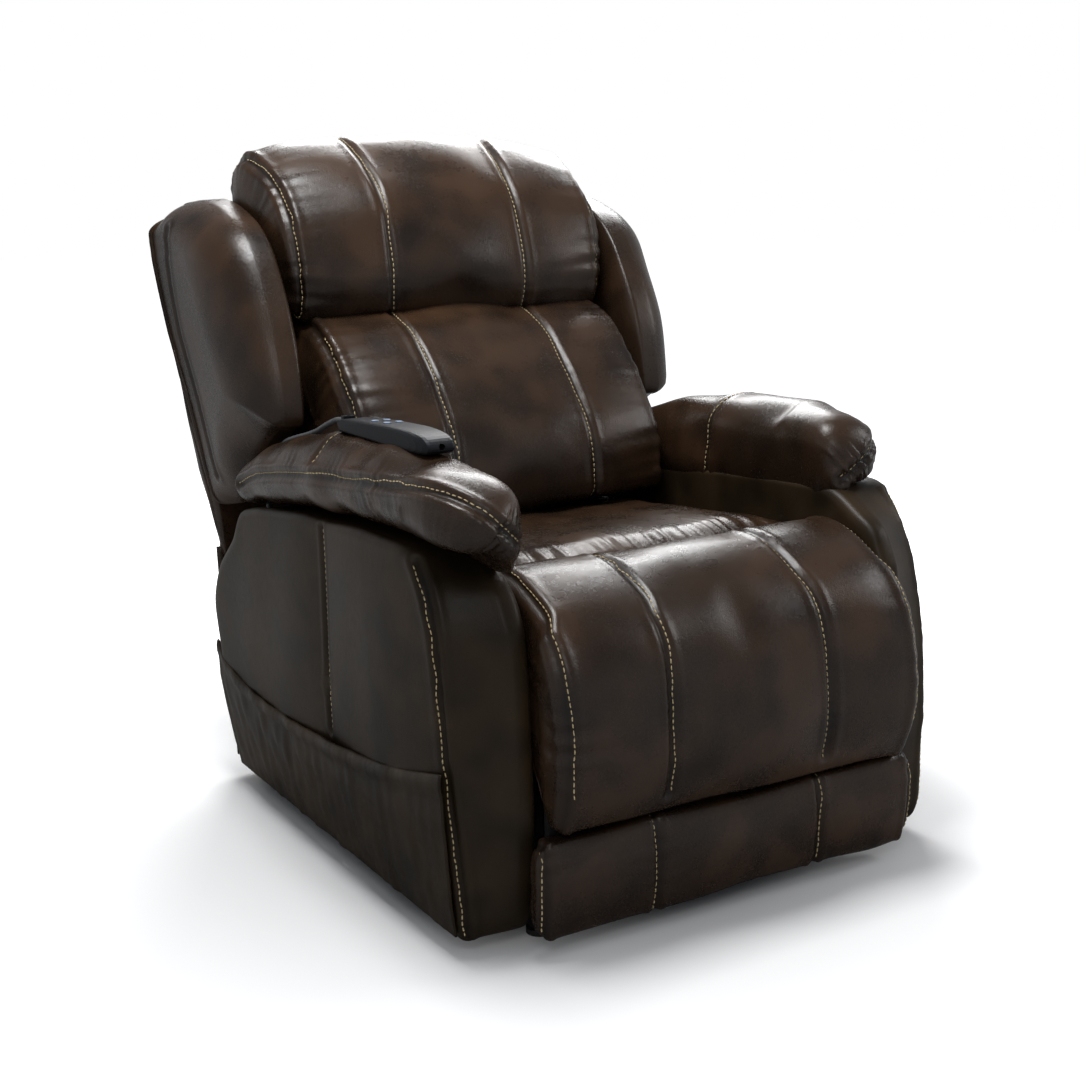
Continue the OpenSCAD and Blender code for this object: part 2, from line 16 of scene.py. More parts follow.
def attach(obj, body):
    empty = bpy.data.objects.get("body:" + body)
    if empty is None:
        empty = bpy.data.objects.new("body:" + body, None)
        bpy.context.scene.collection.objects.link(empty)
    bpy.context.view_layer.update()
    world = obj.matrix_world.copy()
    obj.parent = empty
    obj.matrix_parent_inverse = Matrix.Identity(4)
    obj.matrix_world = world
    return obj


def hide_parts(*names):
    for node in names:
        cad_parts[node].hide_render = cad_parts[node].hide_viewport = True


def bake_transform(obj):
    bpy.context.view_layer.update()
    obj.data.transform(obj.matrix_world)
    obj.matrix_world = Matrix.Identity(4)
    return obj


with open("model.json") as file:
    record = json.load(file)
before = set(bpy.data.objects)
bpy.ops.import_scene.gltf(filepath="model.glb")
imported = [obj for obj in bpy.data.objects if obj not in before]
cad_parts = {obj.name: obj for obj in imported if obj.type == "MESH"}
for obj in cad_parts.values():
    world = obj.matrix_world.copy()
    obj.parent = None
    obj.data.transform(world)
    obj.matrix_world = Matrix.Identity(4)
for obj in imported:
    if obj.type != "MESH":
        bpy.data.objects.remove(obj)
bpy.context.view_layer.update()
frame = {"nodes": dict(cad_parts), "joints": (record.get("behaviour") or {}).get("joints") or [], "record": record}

joints = {j["name"]: j for j in frame["joints"]}
HINGE_BEHIND = 300  # the recline hinge lies this far behind the arms' middle
BACK_SET = joints["recline"]["pos_m"][1] * 1000 - HINGE_BEHIND
print("frame loaded", len(frame["nodes"]), "nodes, set back", round(BACK_SET, 1), "mm")

# %% [markdown]
# The shapes below are written in millimetres round the middle of the arms: X to the sitter's left,
# Y to the rear, Z up. One function turns them into the metres of the frame.
# %% Millimetres to the frame
def to_row(points):
    p = np.asarray(points, float).reshape(-1, 3)
    return (p + [0, BACK_SET, 0]) / 1000


def spot(x, y, z):
    return tuple(to_row([x, y, z])[0])


def to_mm(points):
    return np.asarray(points) * 1000 - [0, BACK_SET, 0]


def link(name, data):
    """A new object for a mesh, lamp or camera, in the scene."""
    o = bpy.data.objects.new(name, data)
    bpy.context.scene.collection.objects.link(o)
    return o


# %% [markdown]
# The camera stands in front, a little to the sitter's right and above the seat, and looks slightly
# down. It is made first.
# %% Camera
def look(azimuth, elevation, roll, place, lens, shift):
    a, e, r = (math.radians(x) for x in (azimuth, elevation, roll))
    right = Vector((math.cos(a), math.sin(a), 0))
    ahead = Vector((-math.sin(a) * math.cos(e), math.cos(a) * math.cos(e), -math.sin(e)))
    up = right.cross(ahead)
    right, up = right * math.cos(r) + up * math.sin(r), up * math.cos(r) - right * math.sin(r)
    data = bpy.data.cameras.new("camera")
    data.lens, data.shift_x, data.shift_y = lens, shift[0], shift[1]
    data.clip_end = 50
    camera = link("camera", data)
    turn = Matrix((right, up, -ahead)).transposed().to_4x4()
    camera.matrix_world = Matrix.Translation(Vector(to_row(place)[0])) @ turn
    bpy.context.scene.camera = camera
    print("camera at", [round(x, 3) for x in camera.location])


look(-29.93, 12.47, -1.52, (-1260.0, -2127.1, 959.5), 51.75, (0.0093, 0.0185))

# %% [markdown]
# A shader is arithmetic on textures, so it reads best as arithmetic. One class wraps a socket and
# turns + - * / into Math nodes, and one method makes any other node.
# %% Shader arithmetic
class Link:
    def __init__(self, tree, socket):
        self.tree, self.socket = tree, socket

    def math(self, operation, other, swap=False):
        n = self.tree.nodes.new("ShaderNodeMath")
        n.operation = operation
        for slot, value in zip((1, 0) if swap else (0, 1), (self, other)):
            plug(self.tree, n.inputs[slot], value)
        return Link(self.tree, n.outputs[0])

    def __add__(self, o): return self.math("ADD", o)
    def __radd__(self, o): return self.math("ADD", o, True)
    def __sub__(self, o): return self.math("SUBTRACT", o)
    def __rsub__(self, o): return self.math("SUBTRACT", o, True)
    def __mul__(self, o): return self.math("MULTIPLY", o)
    def __rmul__(self, o): return self.math("MULTIPLY", o, True)
    def __truediv__(self, o): return self.math("DIVIDE", o)


def plug(tree, socket, value):
    if isinstance(value, Link):
        tree.links.new(value.socket, socket)
    elif socket.type == "RGBA" and len(value) == 3:
        socket.default_value = (*value, 1)
    else:
        socket.default_value = value


class Nodes:
    """A node tree that is being built: node() makes one node and gives back one of its outputs."""

    def __init__(self, tree):
        self.tree = tree

    def node(self, kind, out=0, settings=(), **sockets):
        n = self.tree.nodes.new("ShaderNode" + kind)
        for key, value in dict(settings).items():
            setattr(n, key, value)
        for key, value in sockets.items():
            found = [s for s in n.inputs if s.name == key.replace("_", " ") and s.enabled]
            plug(self.tree, found[0], value)
        return None if out is None else Link(self.tree, n.outputs[out])

    def ramp(self, value, stops):
        n = self.tree.nodes.new("ShaderNodeValToRGB")
        while len(n.color_ramp.elements) < len(stops):
            n.color_ramp.elements.new(0.5)
        for e, (place, colour) in zip(n.color_ramp.elements, stops):
            e.position, e.color = place, (*colour, 1)
        plug(self.tree, n.inputs[0], value)
        return Link(self.tree, n.outputs[0])

    def mix(self, share, a, b):
        n = self.tree.nodes.new("ShaderNodeMix")
        n.data_type = "RGBA"
        for index, value in ((0, share), (6, a), (7, b)):
            plug(self.tree, n.inputs[index], value)
        return Link(self.tree, n.outputs[2])

    def noise(self, scale, detail=3, rough=0.55):
        return self.node("TexNoise", Scale=scale, Detail=detail, Roughness=rough,
                         Vector=self.here())

    def here(self):
        return self.node("TexCoord", out=3)


class Finish(Nodes):
    """A material with one principled shader."""

    def __init__(self, name):
        self.material = bpy.data.materials.new(name)
        self.material.use_nodes = True
        super().__init__(self.material.node_tree)
        self.shader = self.tree.nodes["Principled BSDF"]

    def set(self, **sockets):
        for key, value in sockets.items():
            plug(self.tree, self.shader.inputs[key.replace("_", " ")], value)
        return self.material


# %% [markdown]
# The hide is a pigmented, slightly glossy brown leather: cloudy from reddish to olive brown over a
# hand's width, with painted shade that darkens it where it dips into seams, and a pebble grain of
# about a millimetre. The pebbles are Voronoi cells, and the fine creases are noise. The arms'
# leather is duller.
# %% Leather
def leather(name, dark, mid, warm, gloss, grain=1.0, shine=0.34, coat=0.10):
    f = Finish(name)
    broad, cloud = f.noise(4.5, 3), f.noise(13, 1, 0.5)
    seam = f.node("Attribute", out=2, settings={"attribute_name": "seam"})
    tint = f.mix(f.ramp(broad, [(0.36, (0, 0, 0)), (0.66, (1, 1, 1))]), mid, warm)
    tint = f.mix(f.ramp(cloud, [(0.25, (0, 0, 0)), (0.62, (1, 1, 1))]), dark, tint)
    # Painted shade: the colour is drawn towards a deep brown where the cover dips into a seam.
    tint = f.mix(seam * 0.62, tint, tuple(c * 0.35 for c in dark))
    cells = f.node("TexVoronoi", settings={"feature": "F1"}, Scale=620, Vector=f.here())
    fine = f.noise(1500, 3, 0.6)
    crease = f.noise(95, 6, 0.62)
    height = cells * 0.55 + fine * 0.3 + crease * 0.8
    bump = f.node("Bump", Strength=0.34 * grain, Distance=0.0011, Height=height)
    rough = gloss + (cloud - 0.5) * 0.10 + (crease - 0.5) * 0.12 + seam * 0.12
    f.set(Base_Color=tint, Roughness=rough, Normal=bump, Coat_Weight=coat, Coat_Roughness=0.14,
          Specular_IOR_Level=shine)
    return f.material


hide = leather("brown_leather", (0.0140, 0.0080, 0.0050), (0.0275, 0.0155, 0.0086),
               (0.0480, 0.0245, 0.0122), 0.28)
panel_hide = leather("side_leather", (0.0135, 0.0088, 0.0045), (0.0260, 0.0170, 0.0085),
                     (0.0380, 0.0235, 0.0115), 0.40, 0.7, shine=0.18, coat=0.02)
print("leathers", hide.name, panel_hide.name)

# %% [markdown]
# Thread, metal, timber, plastic and rubber are simpler, but none is one flat colour: paint has an
# orange peel, timber has its year rings, plastic a fine spark-eroded grain.
# %% Hard finishes
def plain(name, a, b, scale, rough, spread=0.1, metal=0.0, bump=0.2, grain=900, **more):
    """Colours a to b in clouds. spread: how much the roughness varies. grain: how fine it is."""
    f = Finish(name)
    cloud = f.noise(scale, 5)
    tint = f.mix(f.ramp(cloud, [(0.3, (0, 0, 0)), (0.7, (1, 1, 1))]), a, b)
    lumps = f.node("Bump", Strength=bump, Distance=0.0004, Height=f.noise(grain, 3))
    return f.set(Base_Color=tint, Roughness=rough + (cloud - 0.5) * spread, Metallic=metal,
                 Normal=lumps, **more)


thread = plain("cream_thread", (0.43, 0.33, 0.17), (0.62, 0.50, 0.28), 300, 0.75, grain=2600)
dark_thread = plain("dark_thread", (0.012, 0.010, 0.008), (0.03, 0.022, 0.016), 300, 0.7,
                    grain=2600)
black_paint = plain("black_paint", (0.012, 0.012, 0.013), (0.022, 0.022, 0.023), 22, 0.38, 0.14)
rubber = plain("glide_rubber", (0.015, 0.015, 0.015), (0.03, 0.03, 0.03), 60, 0.75)
bright = plain("bright_steel", (0.52, 0.52, 0.53), (0.66, 0.66, 0.67), 60, 0.28, 0.2, 1.0, 0.08)
wire = plain("spring_steel", (0.30, 0.30, 0.31), (0.45, 0.44, 0.42), 80, 0.4, 0.2, 1.0, 0.1)
motor_shell = plain("motor_plastic", (0.014, 0.014, 0.015), (0.024, 0.024, 0.026), 30, 0.55, 0.1)
grey_shell = plain("handset_plastic", (0.006, 0.007, 0.009), (0.011, 0.012, 0.015), 40, 0.45, 0.12,
                   Specular_IOR_Level=0.18)
key_gloss = plain("button_plastic", (0.26, 0.34, 0.48), (0.38, 0.46, 0.60), 120, 0.22, 0.1)
cord_skin = plain("cord_plastic", (0.055, 0.057, 0.06), (0.09, 0.092, 0.095), 90, 0.5, 0.1)
# Near-black dust cloth: partly the real black cambric, partly painted shade that keeps the hollows under the
# footrest and behind the back dark.
cambric_and_painted_shade = plain("dust_cloth_and_painted_shade", (0.010, 0.009, 0.008), (0.02, 0.018, 0.016), 200, 0.9, 0.1)


def timber_finish():
    f = Finish("frame_timber")
    along = f.node("Mapping", Vector=f.here(), Scale=(9, 2, 2))
    rings = f.node("TexWave", settings={"bands_direction": "X"}, Vector=along, Scale=6.0,
                   Distortion=7.0, Detail=3.0)
    tint = f.mix(rings, (0.44, 0.28, 0.14), (0.62, 0.44, 0.25))
    lumps = f.node("Bump", Strength=0.2, Distance=0.0005, Height=rings)
    return f.set(Base_Color=tint, Roughness=0.6 + rings * 0.1, Normal=lumps)


timber = timber_finish()
finish_of = {"frame_steel": black_paint, "glides": rubber, "timber": timber, "spring_wire": wire,
             "bright_rod": bright, "motor_housing": motor_shell, "handset_shell": grey_shell,
             "cord": cord_skin, "button": key_gloss, "panel_leather": panel_hide, "leather": hide}
# These boards and rails get the near-black cloth, which also stands in for the shade that falls on them.
finish_by_node = {"footrest_board": cambric_and_painted_shade, "back_rails": cambric_and_painted_shade, "back_posts": cambric_and_painted_shade}
for part in frame["record"]["subparts"]:
    solid = frame["nodes"][part["node"]]
    solid.data.materials.clear()
    solid.data.materials.append(finish_by_node.get(part["node"], finish_of[part["material_slot"]]))
print("finishes on the frame", len(finish_of))

# %% [markdown]
# Every stuffed piece starts as a regular grid: columns across the piece, points round its outline.
# A grid is easy to refine and to sew, because neighbours are known. The outline is a closed
# Catmull-Rom curve through a few points, evened out so that all its edges are about as long.
# %% Grids
def closed_curve(points, step):
    p = np.asarray(points, float)
    t = np.linspace(0, 1, 24, endpoint=False)[:, None]
    a, b, c, d = (np.roll(p, k, 0) for k in (1, 0, -1, -2))
    run = [0.5 * (2 * b[i] + (c[i] - a[i]) * t + (2 * a[i] - 5 * b[i] + 4 * c[i] - d[i]) * t * t
                  + (3 * b[i] - a[i] - 3 * c[i] + d[i]) * t ** 3) for i in range(len(p))]
    run = np.vstack(run + [run[0][:1]])
    return even(run, step)[:-1]


def open_curve(points, step):
    p = np.asarray(points, float)
    p = np.vstack([2 * p[0] - p[1], p, 2 * p[-1] - p[-2]])
    t = np.linspace(0, 1, 24, endpoint=False)[:, None]
    run = [0.5 * (2 * p[i] + (p[i + 1] - p[i - 1]) * t
                  + (2 * p[i - 1] - 5 * p[i] + 4 * p[i + 1] - p[i + 2]) * t * t
                  + (3 * p[i] - p[i - 1] - 3 * p[i + 1] + p[i + 2]) * t ** 3)
           for i in range(1, len(p) - 2)]
    return even(np.vstack(run + [p[-2:-1]]), step)


def even(run, step):
    gone = np.r_[0, np.cumsum(np.linalg.norm(np.diff(run, axis=0), axis=1))]
    n = max(3, int(round(gone[-1] / step)))
    at = np.linspace(0, gone[-1], n + 1)
    return np.stack([np.interp(at, gone, run[:, k]) for k in range(run.shape[1])], 1)


def columns(seams, step):
    """X of the columns: even between the seams, which get a column of their own."""
    xs = [seams[0]]
    for a, b in zip(seams, seams[1:]):
        n = max(2, int(round((b - a) / step)))
        xs += list(a + (b - a) * np.arange(1, n + 1) / n)
    return np.array(xs)


def loft(u, stations, spread=None):
    """One ring of the outline u for each station: its X, and its share of the full size."""
    m = (u.max(0) + u.min(0)) / 2
    g = np.zeros((len(stations), len(u), 3))
    for k, (x, s) in enumerate(stations):
        yz = m + s * (u - m)
        g[k, :, 0] = x * (spread(yz[:, 0], yz[:, 1]) if spread else 1)
        g[k, :, 1:] = yz
    return g


def pillow(outline, seams, cap, step=10, spread=None, caps=9, square=2.0):
    """Columns of one outline along X, closed at both ends by a cap that swells by cap."""
    share = np.cos(np.radians(np.linspace(87, 0, caps)))[:-1]
    swell = cap * (1 - share ** square) ** (1 / square)
    stations = list(zip(seams[0] - swell, share))
    stations += [(x, 1.0) for x in columns(seams, step)]
    stations += list(zip(seams[-1] + swell[::-1], share[::-1]))
    return loft(closed_curve(outline, step), stations, spread)


def finer(g):
    """Twice as many columns and points, on a smooth curve through the old ones."""
    def between(a, b, c, d): return (9 * (b + c) - a - d) / 16
    out = np.zeros((g.shape[0], g.shape[1] * 2, 3))
    out[:, ::2] = g
    out[:, 1::2] = between(np.roll(g, 1, 1), g, np.roll(g, -1, 1), np.roll(g, -2, 1))
    h = np.concatenate([out[:1], out, out[-1:]])
    full = np.zeros((out.shape[0] * 2 - 1, out.shape[1], 3))
    full[::2] = out
    full[1::2] = between(h[:-3], h[1:-2], h[2:-1], h[3:])
    return full


def grid_mesh(name, g):
    """A closed mesh of the grid in the frame's metres, both ends fanned to their middle."""
    v, u = g.shape[:2]
    points = np.vstack([g.reshape(-1, 3), g[0].mean(0), g[-1].mean(0)])
    k = np.arange(v * u).reshape(v, u)
    r = np.roll(k, -1, 1)
    faces = np.stack([k[:-1], r[:-1], r[1:], k[1:]], -1).reshape(-1, 4).tolist()
    faces += [[int(a), int(v * u), int(b)] for a, b in zip(k[0], r[0])]
    faces += [[int(b), int(v * u + 1), int(a)] for a, b in zip(k[-1], r[-1])]
    mesh = bpy.data.meshes.new(name)
    mesh.from_pydata(to_row(points).tolist(), [], faces)
    mesh.update()
    return outwards(mesh)


def thick_sheet(name, front, back, material, keep=None):
    """A closed sheet between two grids of points; keep says which of its cells are there."""
    rows, cols = front.shape[:2]
    keep = np.ones((rows - 1, cols - 1), bool) if keep is None else keep
    k = np.arange(rows * cols).reshape(rows, cols)
    quads = np.stack([k[:-1, :-1], k[:-1, 1:], k[1:, 1:], k[1:, :-1]], -1)[keep].tolist()
    faces = quads + [[i + rows * cols for i in q[::-1]] for q in quads]
    edges = {(a, b) for q in quads for a, b in zip(q, q[1:] + q[:1])}
    faces += [[b, a, a + rows * cols, b + rows * cols] for a, b in sorted(edges)
              if (b, a) not in edges]
    used = sorted({i for q in faces for i in q})
    place = {old: new for new, old in enumerate(used)}
    points = to_row(np.vstack([front.reshape(-1, 3), back.reshape(-1, 3)]))[used]
    mesh = bpy.data.meshes.new(name)
    mesh.from_pydata(points.tolist(), [], [[place[i] for i in q] for q in faces])
    outwards(mesh).materials.append(material)
    print("sheet", name, rows, "x", cols)
    return link(name, mesh)


def smooth(mesh):
    mesh.polygons.foreach_set("use_smooth", [True] * len(mesh.polygons))
    return mesh


def outwards(mesh):
    """Smooth shading, and normals that point out: the volume that the faces enclose says so."""
    mesh.calc_loop_triangles()
    co = np.array([v.co for v in mesh.vertices])
    t = np.array([x.vertices for x in mesh.loop_triangles])
    if np.einsum("ij,ij->i", co[t[:, 0]], np.cross(co[t[:, 1]], co[t[:, 2]])).sum() < 0:
        mesh.flip_normals()
    return smooth(mesh)


# %% [markdown]
# A cushion looks stuffed because its cover is held at the seams and pushed out between them. Cloth
# simulation does just that: the seams are pinned, the cover is cut a little too large, and air
# pressure fills it. All pieces are filled in one run of twenty frames, and how far a point may
# travel is capped so that nothing leaves its place.
# %% Filling with cloth simulation
stuffed = {}


ROOMY = 0.008  # how much too large the covers are cut
HOLD = 9.0 * 0.62  # mm: what lies this near a seam is held by it
FRAMES = 20


def stuff(name, g, seams, pressure=5.0, cap=24, calm=8, rest=(), low=(-999, -999, -999),
          high=(999, 999, 999)):
    """seams: lines that are pinned. rest: functions of the points that say what lies on something.
    calm: how far small dents are combed out. low, high: planes that the cover doesn't pass."""
    stuffed[name] = dict(grid=g, seams=[np.asarray(s, float) for s in seams], pressure=pressure,
                         cap=cap, calm=calm, rest=rest, low=low, high=high)


def way_to(points, line):
    """Distance of each point to a line, and how far along the line its nearest point is."""
    line = even(np.asarray(line, float), 4)
    gone = np.r_[0, np.cumsum(np.linalg.norm(np.diff(line, axis=0), axis=1))]
    far, along = np.empty(len(points)), np.empty(len(points))
    for s in range(0, len(points), 20000):  # in lots, to save memory
        d = np.linalg.norm(points[s:s + 20000, None] - line[None], axis=2)
        i = d.argmin(1)
        far[s:s + 20000], along[s:s + 20000] = d[np.arange(len(i)), i], gone[i]
    return far, along


def fill_all():
    scene = bpy.context.scene
    scene.frame_start, scene.frame_end = 1, FRAMES
    made = {}
    for name, s in stuffed.items():
        o = link(name + "_cover", grid_mesh(name + "_cover", s["grid"]))
        points = s["grid"].reshape(-1, 3)
        pinned = np.zeros(len(points), bool)
        for line in s["seams"]:
            pinned |= way_to(points, line)[0] < HOLD
        for test in s["rest"]:
            pinned |= test(points)
        group = o.vertex_groups.new(name="pin")
        group.add([int(i) for i in np.flatnonzero(pinned)], 1.0, "REPLACE")
        cloth = o.modifiers.new("cloth", "CLOTH")
        c = cloth.settings
        c.quality, c.mass, c.vertex_group_mass = 4, 0.25, "pin"
        c.tension_stiffness = c.compression_stiffness = 14
        c.shear_stiffness, c.bending_stiffness = 6, 6.0
        c.use_pressure, c.uniform_pressure_force = True, s["pressure"]
        c.shrink_min = -ROOMY
        c.effector_weights.gravity = 0
        cloth.collision_settings.use_collision = False
        cloth.point_cache.frame_start, cloth.point_cache.frame_end = 1, FRAMES
        made[name] = o, pinned.reshape(s["grid"].shape[:2])
    for f in range(1, FRAMES + 1):
        scene.frame_set(f)
    graph = bpy.context.evaluated_depsgraph_get()
    for name, (o, pinned) in made.items():
        s = stuffed[name]
        shaped = o.evaluated_get(graph).data
        co = np.empty(len(shaped.vertices) * 3)
        shaped.vertices.foreach_get("co", co)
        g = s["grid"]
        move = to_mm(co.reshape(-1, 3)[:-2]).reshape(g.shape) - g
        for _ in range(s["calm"]):
            ends = np.concatenate([move[:1], move, move[-1:]])
            move = (0.4 * move + 0.15 * (np.roll(move, 1, 1) + np.roll(move, -1, 1))
                    + 0.15 * (ends[2:] + ends[:-2]))
            move[pinned] = 0
        far = np.linalg.norm(move, axis=2, keepdims=True)
        g = g + move * np.minimum(1, s["cap"] / np.maximum(far, 1e-6))
        s["grid"] = np.clip(g, s["low"], s["high"])
        print("filled", name, "by up to", round(float(far.max()), 1), "mm, now",
              np.ptp(s["grid"].reshape(-1, 3), 0).round(0))
        bpy.data.objects.remove(o)
    scene.frame_set(1)


# %% [markdown]
# After filling, the grid is refined and worked, as an upholsterer would work a cover: the cover is
# drawn in along each seam, the hide stands up in a small roll beside it, and short creases run off
# the seam where the cover is gathered. All of it is movement along the surface's own normal.
# %% Working a cover
def normals_of(g):
    du = np.roll(g, -1, 1) - np.roll(g, 1, 1)
    dv = np.gradient(g, axis=0)
    n = np.cross(du, dv)
    n /= np.maximum(np.linalg.norm(n, axis=2, keepdims=True), 1e-9)
    middle = g.reshape(-1, 3).mean(0)
    if ((g - middle) * n).sum() < 0:
        n = -n
    return n


def wave(t, length, seed):
    """A wavering line from -1 to 1, whose ripples are about length long."""
    terms = 7
    r = np.random.default_rng(seed)
    f = (0.45 + 1.4 * r.random(terms)) * 2 * math.pi / length
    a, p = 0.4 + 0.6 * r.random(terms), 2 * math.pi * r.random(terms)
    return sum(a[i] * np.sin(f[i] * t + p[i]) for i in range(terms)) / a.sum() * 1.9


def tree_of(mesh):
    return BVHTree.FromPolygons([v.co for v in mesh.vertices],
                                [f.vertices[:] for f in mesh.polygons])


def near(cover, line):
    """The line moved onto a cover that is still being worked, and smoothed again."""
    mesh = grid_mesh("while_working", cover.g)
    tree = tree_of(mesh)
    bpy.data.meshes.remove(mesh)
    run = to_row(even(np.asarray(line, float), 8))
    spots = to_mm([tree.find_nearest(Vector(q))[0] for q in run])
    for _ in range(6):
        spots[1:-1] = (spots[:-2] + 2 * spots[1:-1] + spots[2:]) / 4
    return spots


class Cover:
    """A grid that is being worked, with how near each point is to a seam."""

    def __init__(self, name, grid):
        self.name, self.g = name, finer(grid)
        self.seam = np.zeros(self.g.shape[:2])

    def flat(self):
        return self.g.reshape(-1, 3)

    def push(self, amount):
        self.g = self.g + normals_of(self.g) * amount.reshape(self.g.shape[:2] + (1,))

    def draw_in(self, line, deep=4.0, wide=5.0, roll=1.6):
        d = way_to(self.flat(), line)[0].reshape(self.g.shape[:2])
        self.push(-deep * np.exp(-(d / wide) ** 2) + roll * np.exp(-((d - wide * 2.1) / wide) ** 2))
        self.seam = np.maximum(self.seam, np.exp(-(d / (wide * 0.9)) ** 2))

    def gather(self, line, high, length, reach, seed, only=None):
        """Creases that run away from the line and die out over reach."""
        d, along = way_to(self.flat(), line)
        ripple = wave(along + 0.12 * d * np.sin(along / 31.0 + seed), length, seed)
        ripple = np.sign(ripple) * np.abs(ripple) ** 0.8
        amount = high * ripple * np.exp(-d / reach) * np.clip(d / 6, 0, 1)
        amount *= 0.55 + 0.45 * wave(along, length * 6, seed + 5)
        if only is not None:
            amount = amount * only(self.flat())
        self.push(amount)

    def soften(self, high, length, seed):
        """Slow hollows all over, so that no face is quite flat."""
        p = self.flat()
        r = np.random.default_rng(seed)
        amount = np.zeros(len(p))
        for _ in range(9):
            way = r.normal(size=3)
            way *= 2 * math.pi / (length * (0.6 + r.random())) / np.linalg.norm(way)
            amount += np.sin(p @ way + 6.28 * r.random())
        self.push(high * amount / 3)

    def build(self, body, replaces, material, slot="leather"):
        mesh = grid_mesh(self.name, self.g)
        # How near each point is to a seam: the leather paints shade into the hide by it, and roughens it.
        layer = mesh.attributes.new("seam", "FLOAT", "POINT")
        layer.data.foreach_set("value", np.r_[self.seam.ravel(), 0, 0].astype(np.float32))
        mesh.materials.append(material)
        self.object = o = link(self.name, mesh)
        if body:
            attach(o, body)
        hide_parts(*replaces)
        self.tree = tree_of(mesh)
        print("built", self.name, len(mesh.vertices), "points")
        return self


# %% [markdown]
# Top stitching lies beside each seam in thick cream thread: stitches 7 mm long with a short gap,
# each sunk at its ends. They are geometry, small spindles laid on the cover, one mesh for each
# piece, because a painted line would look flat at this size.
# %% Stitches
STITCH, GAP, THREAD = 6.6, 2.3, 0.95
CORNERS = 6
SPINDLE = ((0.0, 0.25), (0.16, 0.85), (0.5, 1.0), (0.84, 0.85), (1.0, 0.25))  # place, thickness


def on_cover(cover, points):
    """The nearest spots on the cover, and its normals there."""
    hits = [cover.tree.find_nearest(Vector(p))[:2] for p in to_row(points)]
    return np.array([h[0] for h in hits]), np.array([h[1] for h in hits])


def stitch_line(cover, line, side):
    """Spindles along a line, side millimetres to one side of it, on the cover."""
    run = even(np.asarray(line, float), 3)
    spots, ups = on_cover(cover, run)
    way = np.gradient(spots, axis=0)
    way /= np.maximum(np.linalg.norm(way, axis=1, keepdims=True), 1e-9)
    run = spots + np.cross(ups, way) * side / 1000
    for _ in range(12):
        run[1:-1] = (run[:-2] + 2 * run[1:-1] + run[2:]) / 4
    run = even(to_mm(run), STITCH + GAP)
    spots, ups = on_cover(cover, run)
    verts, faces = [], []
    for a, b, up in zip(spots[:-1], spots[1:], ups[:-1]):
        way = b - a
        size = np.linalg.norm(way)
        if size < 1e-4 or size > 0.03:
            continue
        way = way / size
        up = up - way * (up @ way)
        up /= max(np.linalg.norm(up), 1e-9)
        across = np.cross(up, way)
        start = len(verts)
        n = CORNERS
        for t, r in SPINDLE:
            c = a + way * size * (0.08 + t * STITCH / (STITCH + GAP) * 0.98)
            c = c + up * (0.0002 + 0.0005 * math.sin(math.pi * t))
            for k in range(n):
                w = 2 * math.pi * k / n
                round_it = across * math.cos(w) + up * 0.8 * math.sin(w)
                verts.append(c + round_it * r * THREAD / 1000)
        for ring in range(4):
            for k in range(n):
                j = (k + 1) % n
                q = start + ring * n
                faces.append((q + k, q + j, q + n + j, q + n + k))
        faces.append(tuple(start + k for k in range(n))[::-1])
        faces.append(tuple(start + 4 * n + k for k in range(n)))
    return verts, faces


def sew(cover, lines, material=thread, blended=None):
    """lines: (points, side) pairs that are stitched on the cover."""
    verts, faces = [], []
    for line, side in lines:
        v, f = stitch_line(cover, line, side)
        faces += [tuple(i + len(verts) for i in q) for q in f]
        verts += v
    name = cover.name + "_stitches"
    mesh = bpy.data.meshes.new(name)
    mesh.from_pydata([tuple(v) for v in verts], [], faces)
    smooth(mesh).materials.append(material)
    o = link(name, mesh)
    if blended:
        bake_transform(o)
    else:
        o.parent = cover.object
    print("stitched", name, len(faces) // (4 * CORNERS + 2), "stitches")


def run_at(g, x):
    """The points of the grid's column nearest to x, as a closed line."""
    line = g[int(np.abs(g[:, :, 0].mean(1) - x).argmin())]
    return np.vstack([line, line[:1]])


# %% [markdown]
# The handset hangs on a curly grey cord. The cord leaves the strain relief at its tail, sinks onto
# the arm pad, follows it over the rear edge and goes down into the arm. Its route is settled in the
# frame, and the curls are a helix of ridges on a tube that follows it.
# %% Cord
cord_route = [[-352, -16.2, 671.1], [-352, 14, 670.6], [-354, 50, 660], [-357, 86, 646.5],
              [-360, 124, 636.5], [-361, 170, 627], [-360, 214, 615.5], [-358, 258, 597.5],
              [-356, 296, 581], [-355, 316, 558], [-354, 322, 520], [-353, 324, 480],
              [-352, 336, 440], [-352, 360, 400], [-352, 374, 372], [-352, 376, 350]]


def ribbed_tube(name, route, radius, ridge, pitch):
    """A tube along the route whose skin rises and falls as a helix of the given pitch."""
    run = open_curve(route, 0.6)
    gone = np.r_[0, np.cumsum(np.linalg.norm(np.diff(run, axis=0), axis=1))]
    way = np.gradient(run, axis=0)
    way /= np.linalg.norm(way, axis=1, keepdims=True)
    across = np.cross(way, [1.0, 0, 0])
    across /= np.linalg.norm(across, axis=1, keepdims=True)
    over = np.cross(way, across)
    n = 14  # corners of the tube
    turn = np.linspace(0, 2 * math.pi, n, endpoint=False)
    lift = np.abs(np.sin(math.pi * gone[:, None] / pitch + turn / 2)) ** 0.7
    r = radius - ridge + ridge * lift
    points = (run[:, None] + r[..., None] * (np.cos(turn)[None, :, None] * across[:, None]
                                             + np.sin(turn)[None, :, None] * over[:, None]))
    k = np.arange(len(run) * n).reshape(len(run), n)
    j = np.roll(k, -1, 1)
    faces = np.stack([k[:-1], j[:-1], j[1:], k[1:]], -1).reshape(-1, 4).tolist()
    faces += [k[0].tolist()[::-1], k[-1].tolist()]
    mesh = bpy.data.meshes.new(name)
    mesh.from_pydata(to_row(points.reshape(-1, 3)).tolist(), [], faces)
    smooth(mesh).materials.append(cord_skin)
    return link(name, mesh), gone[-1] / 1000


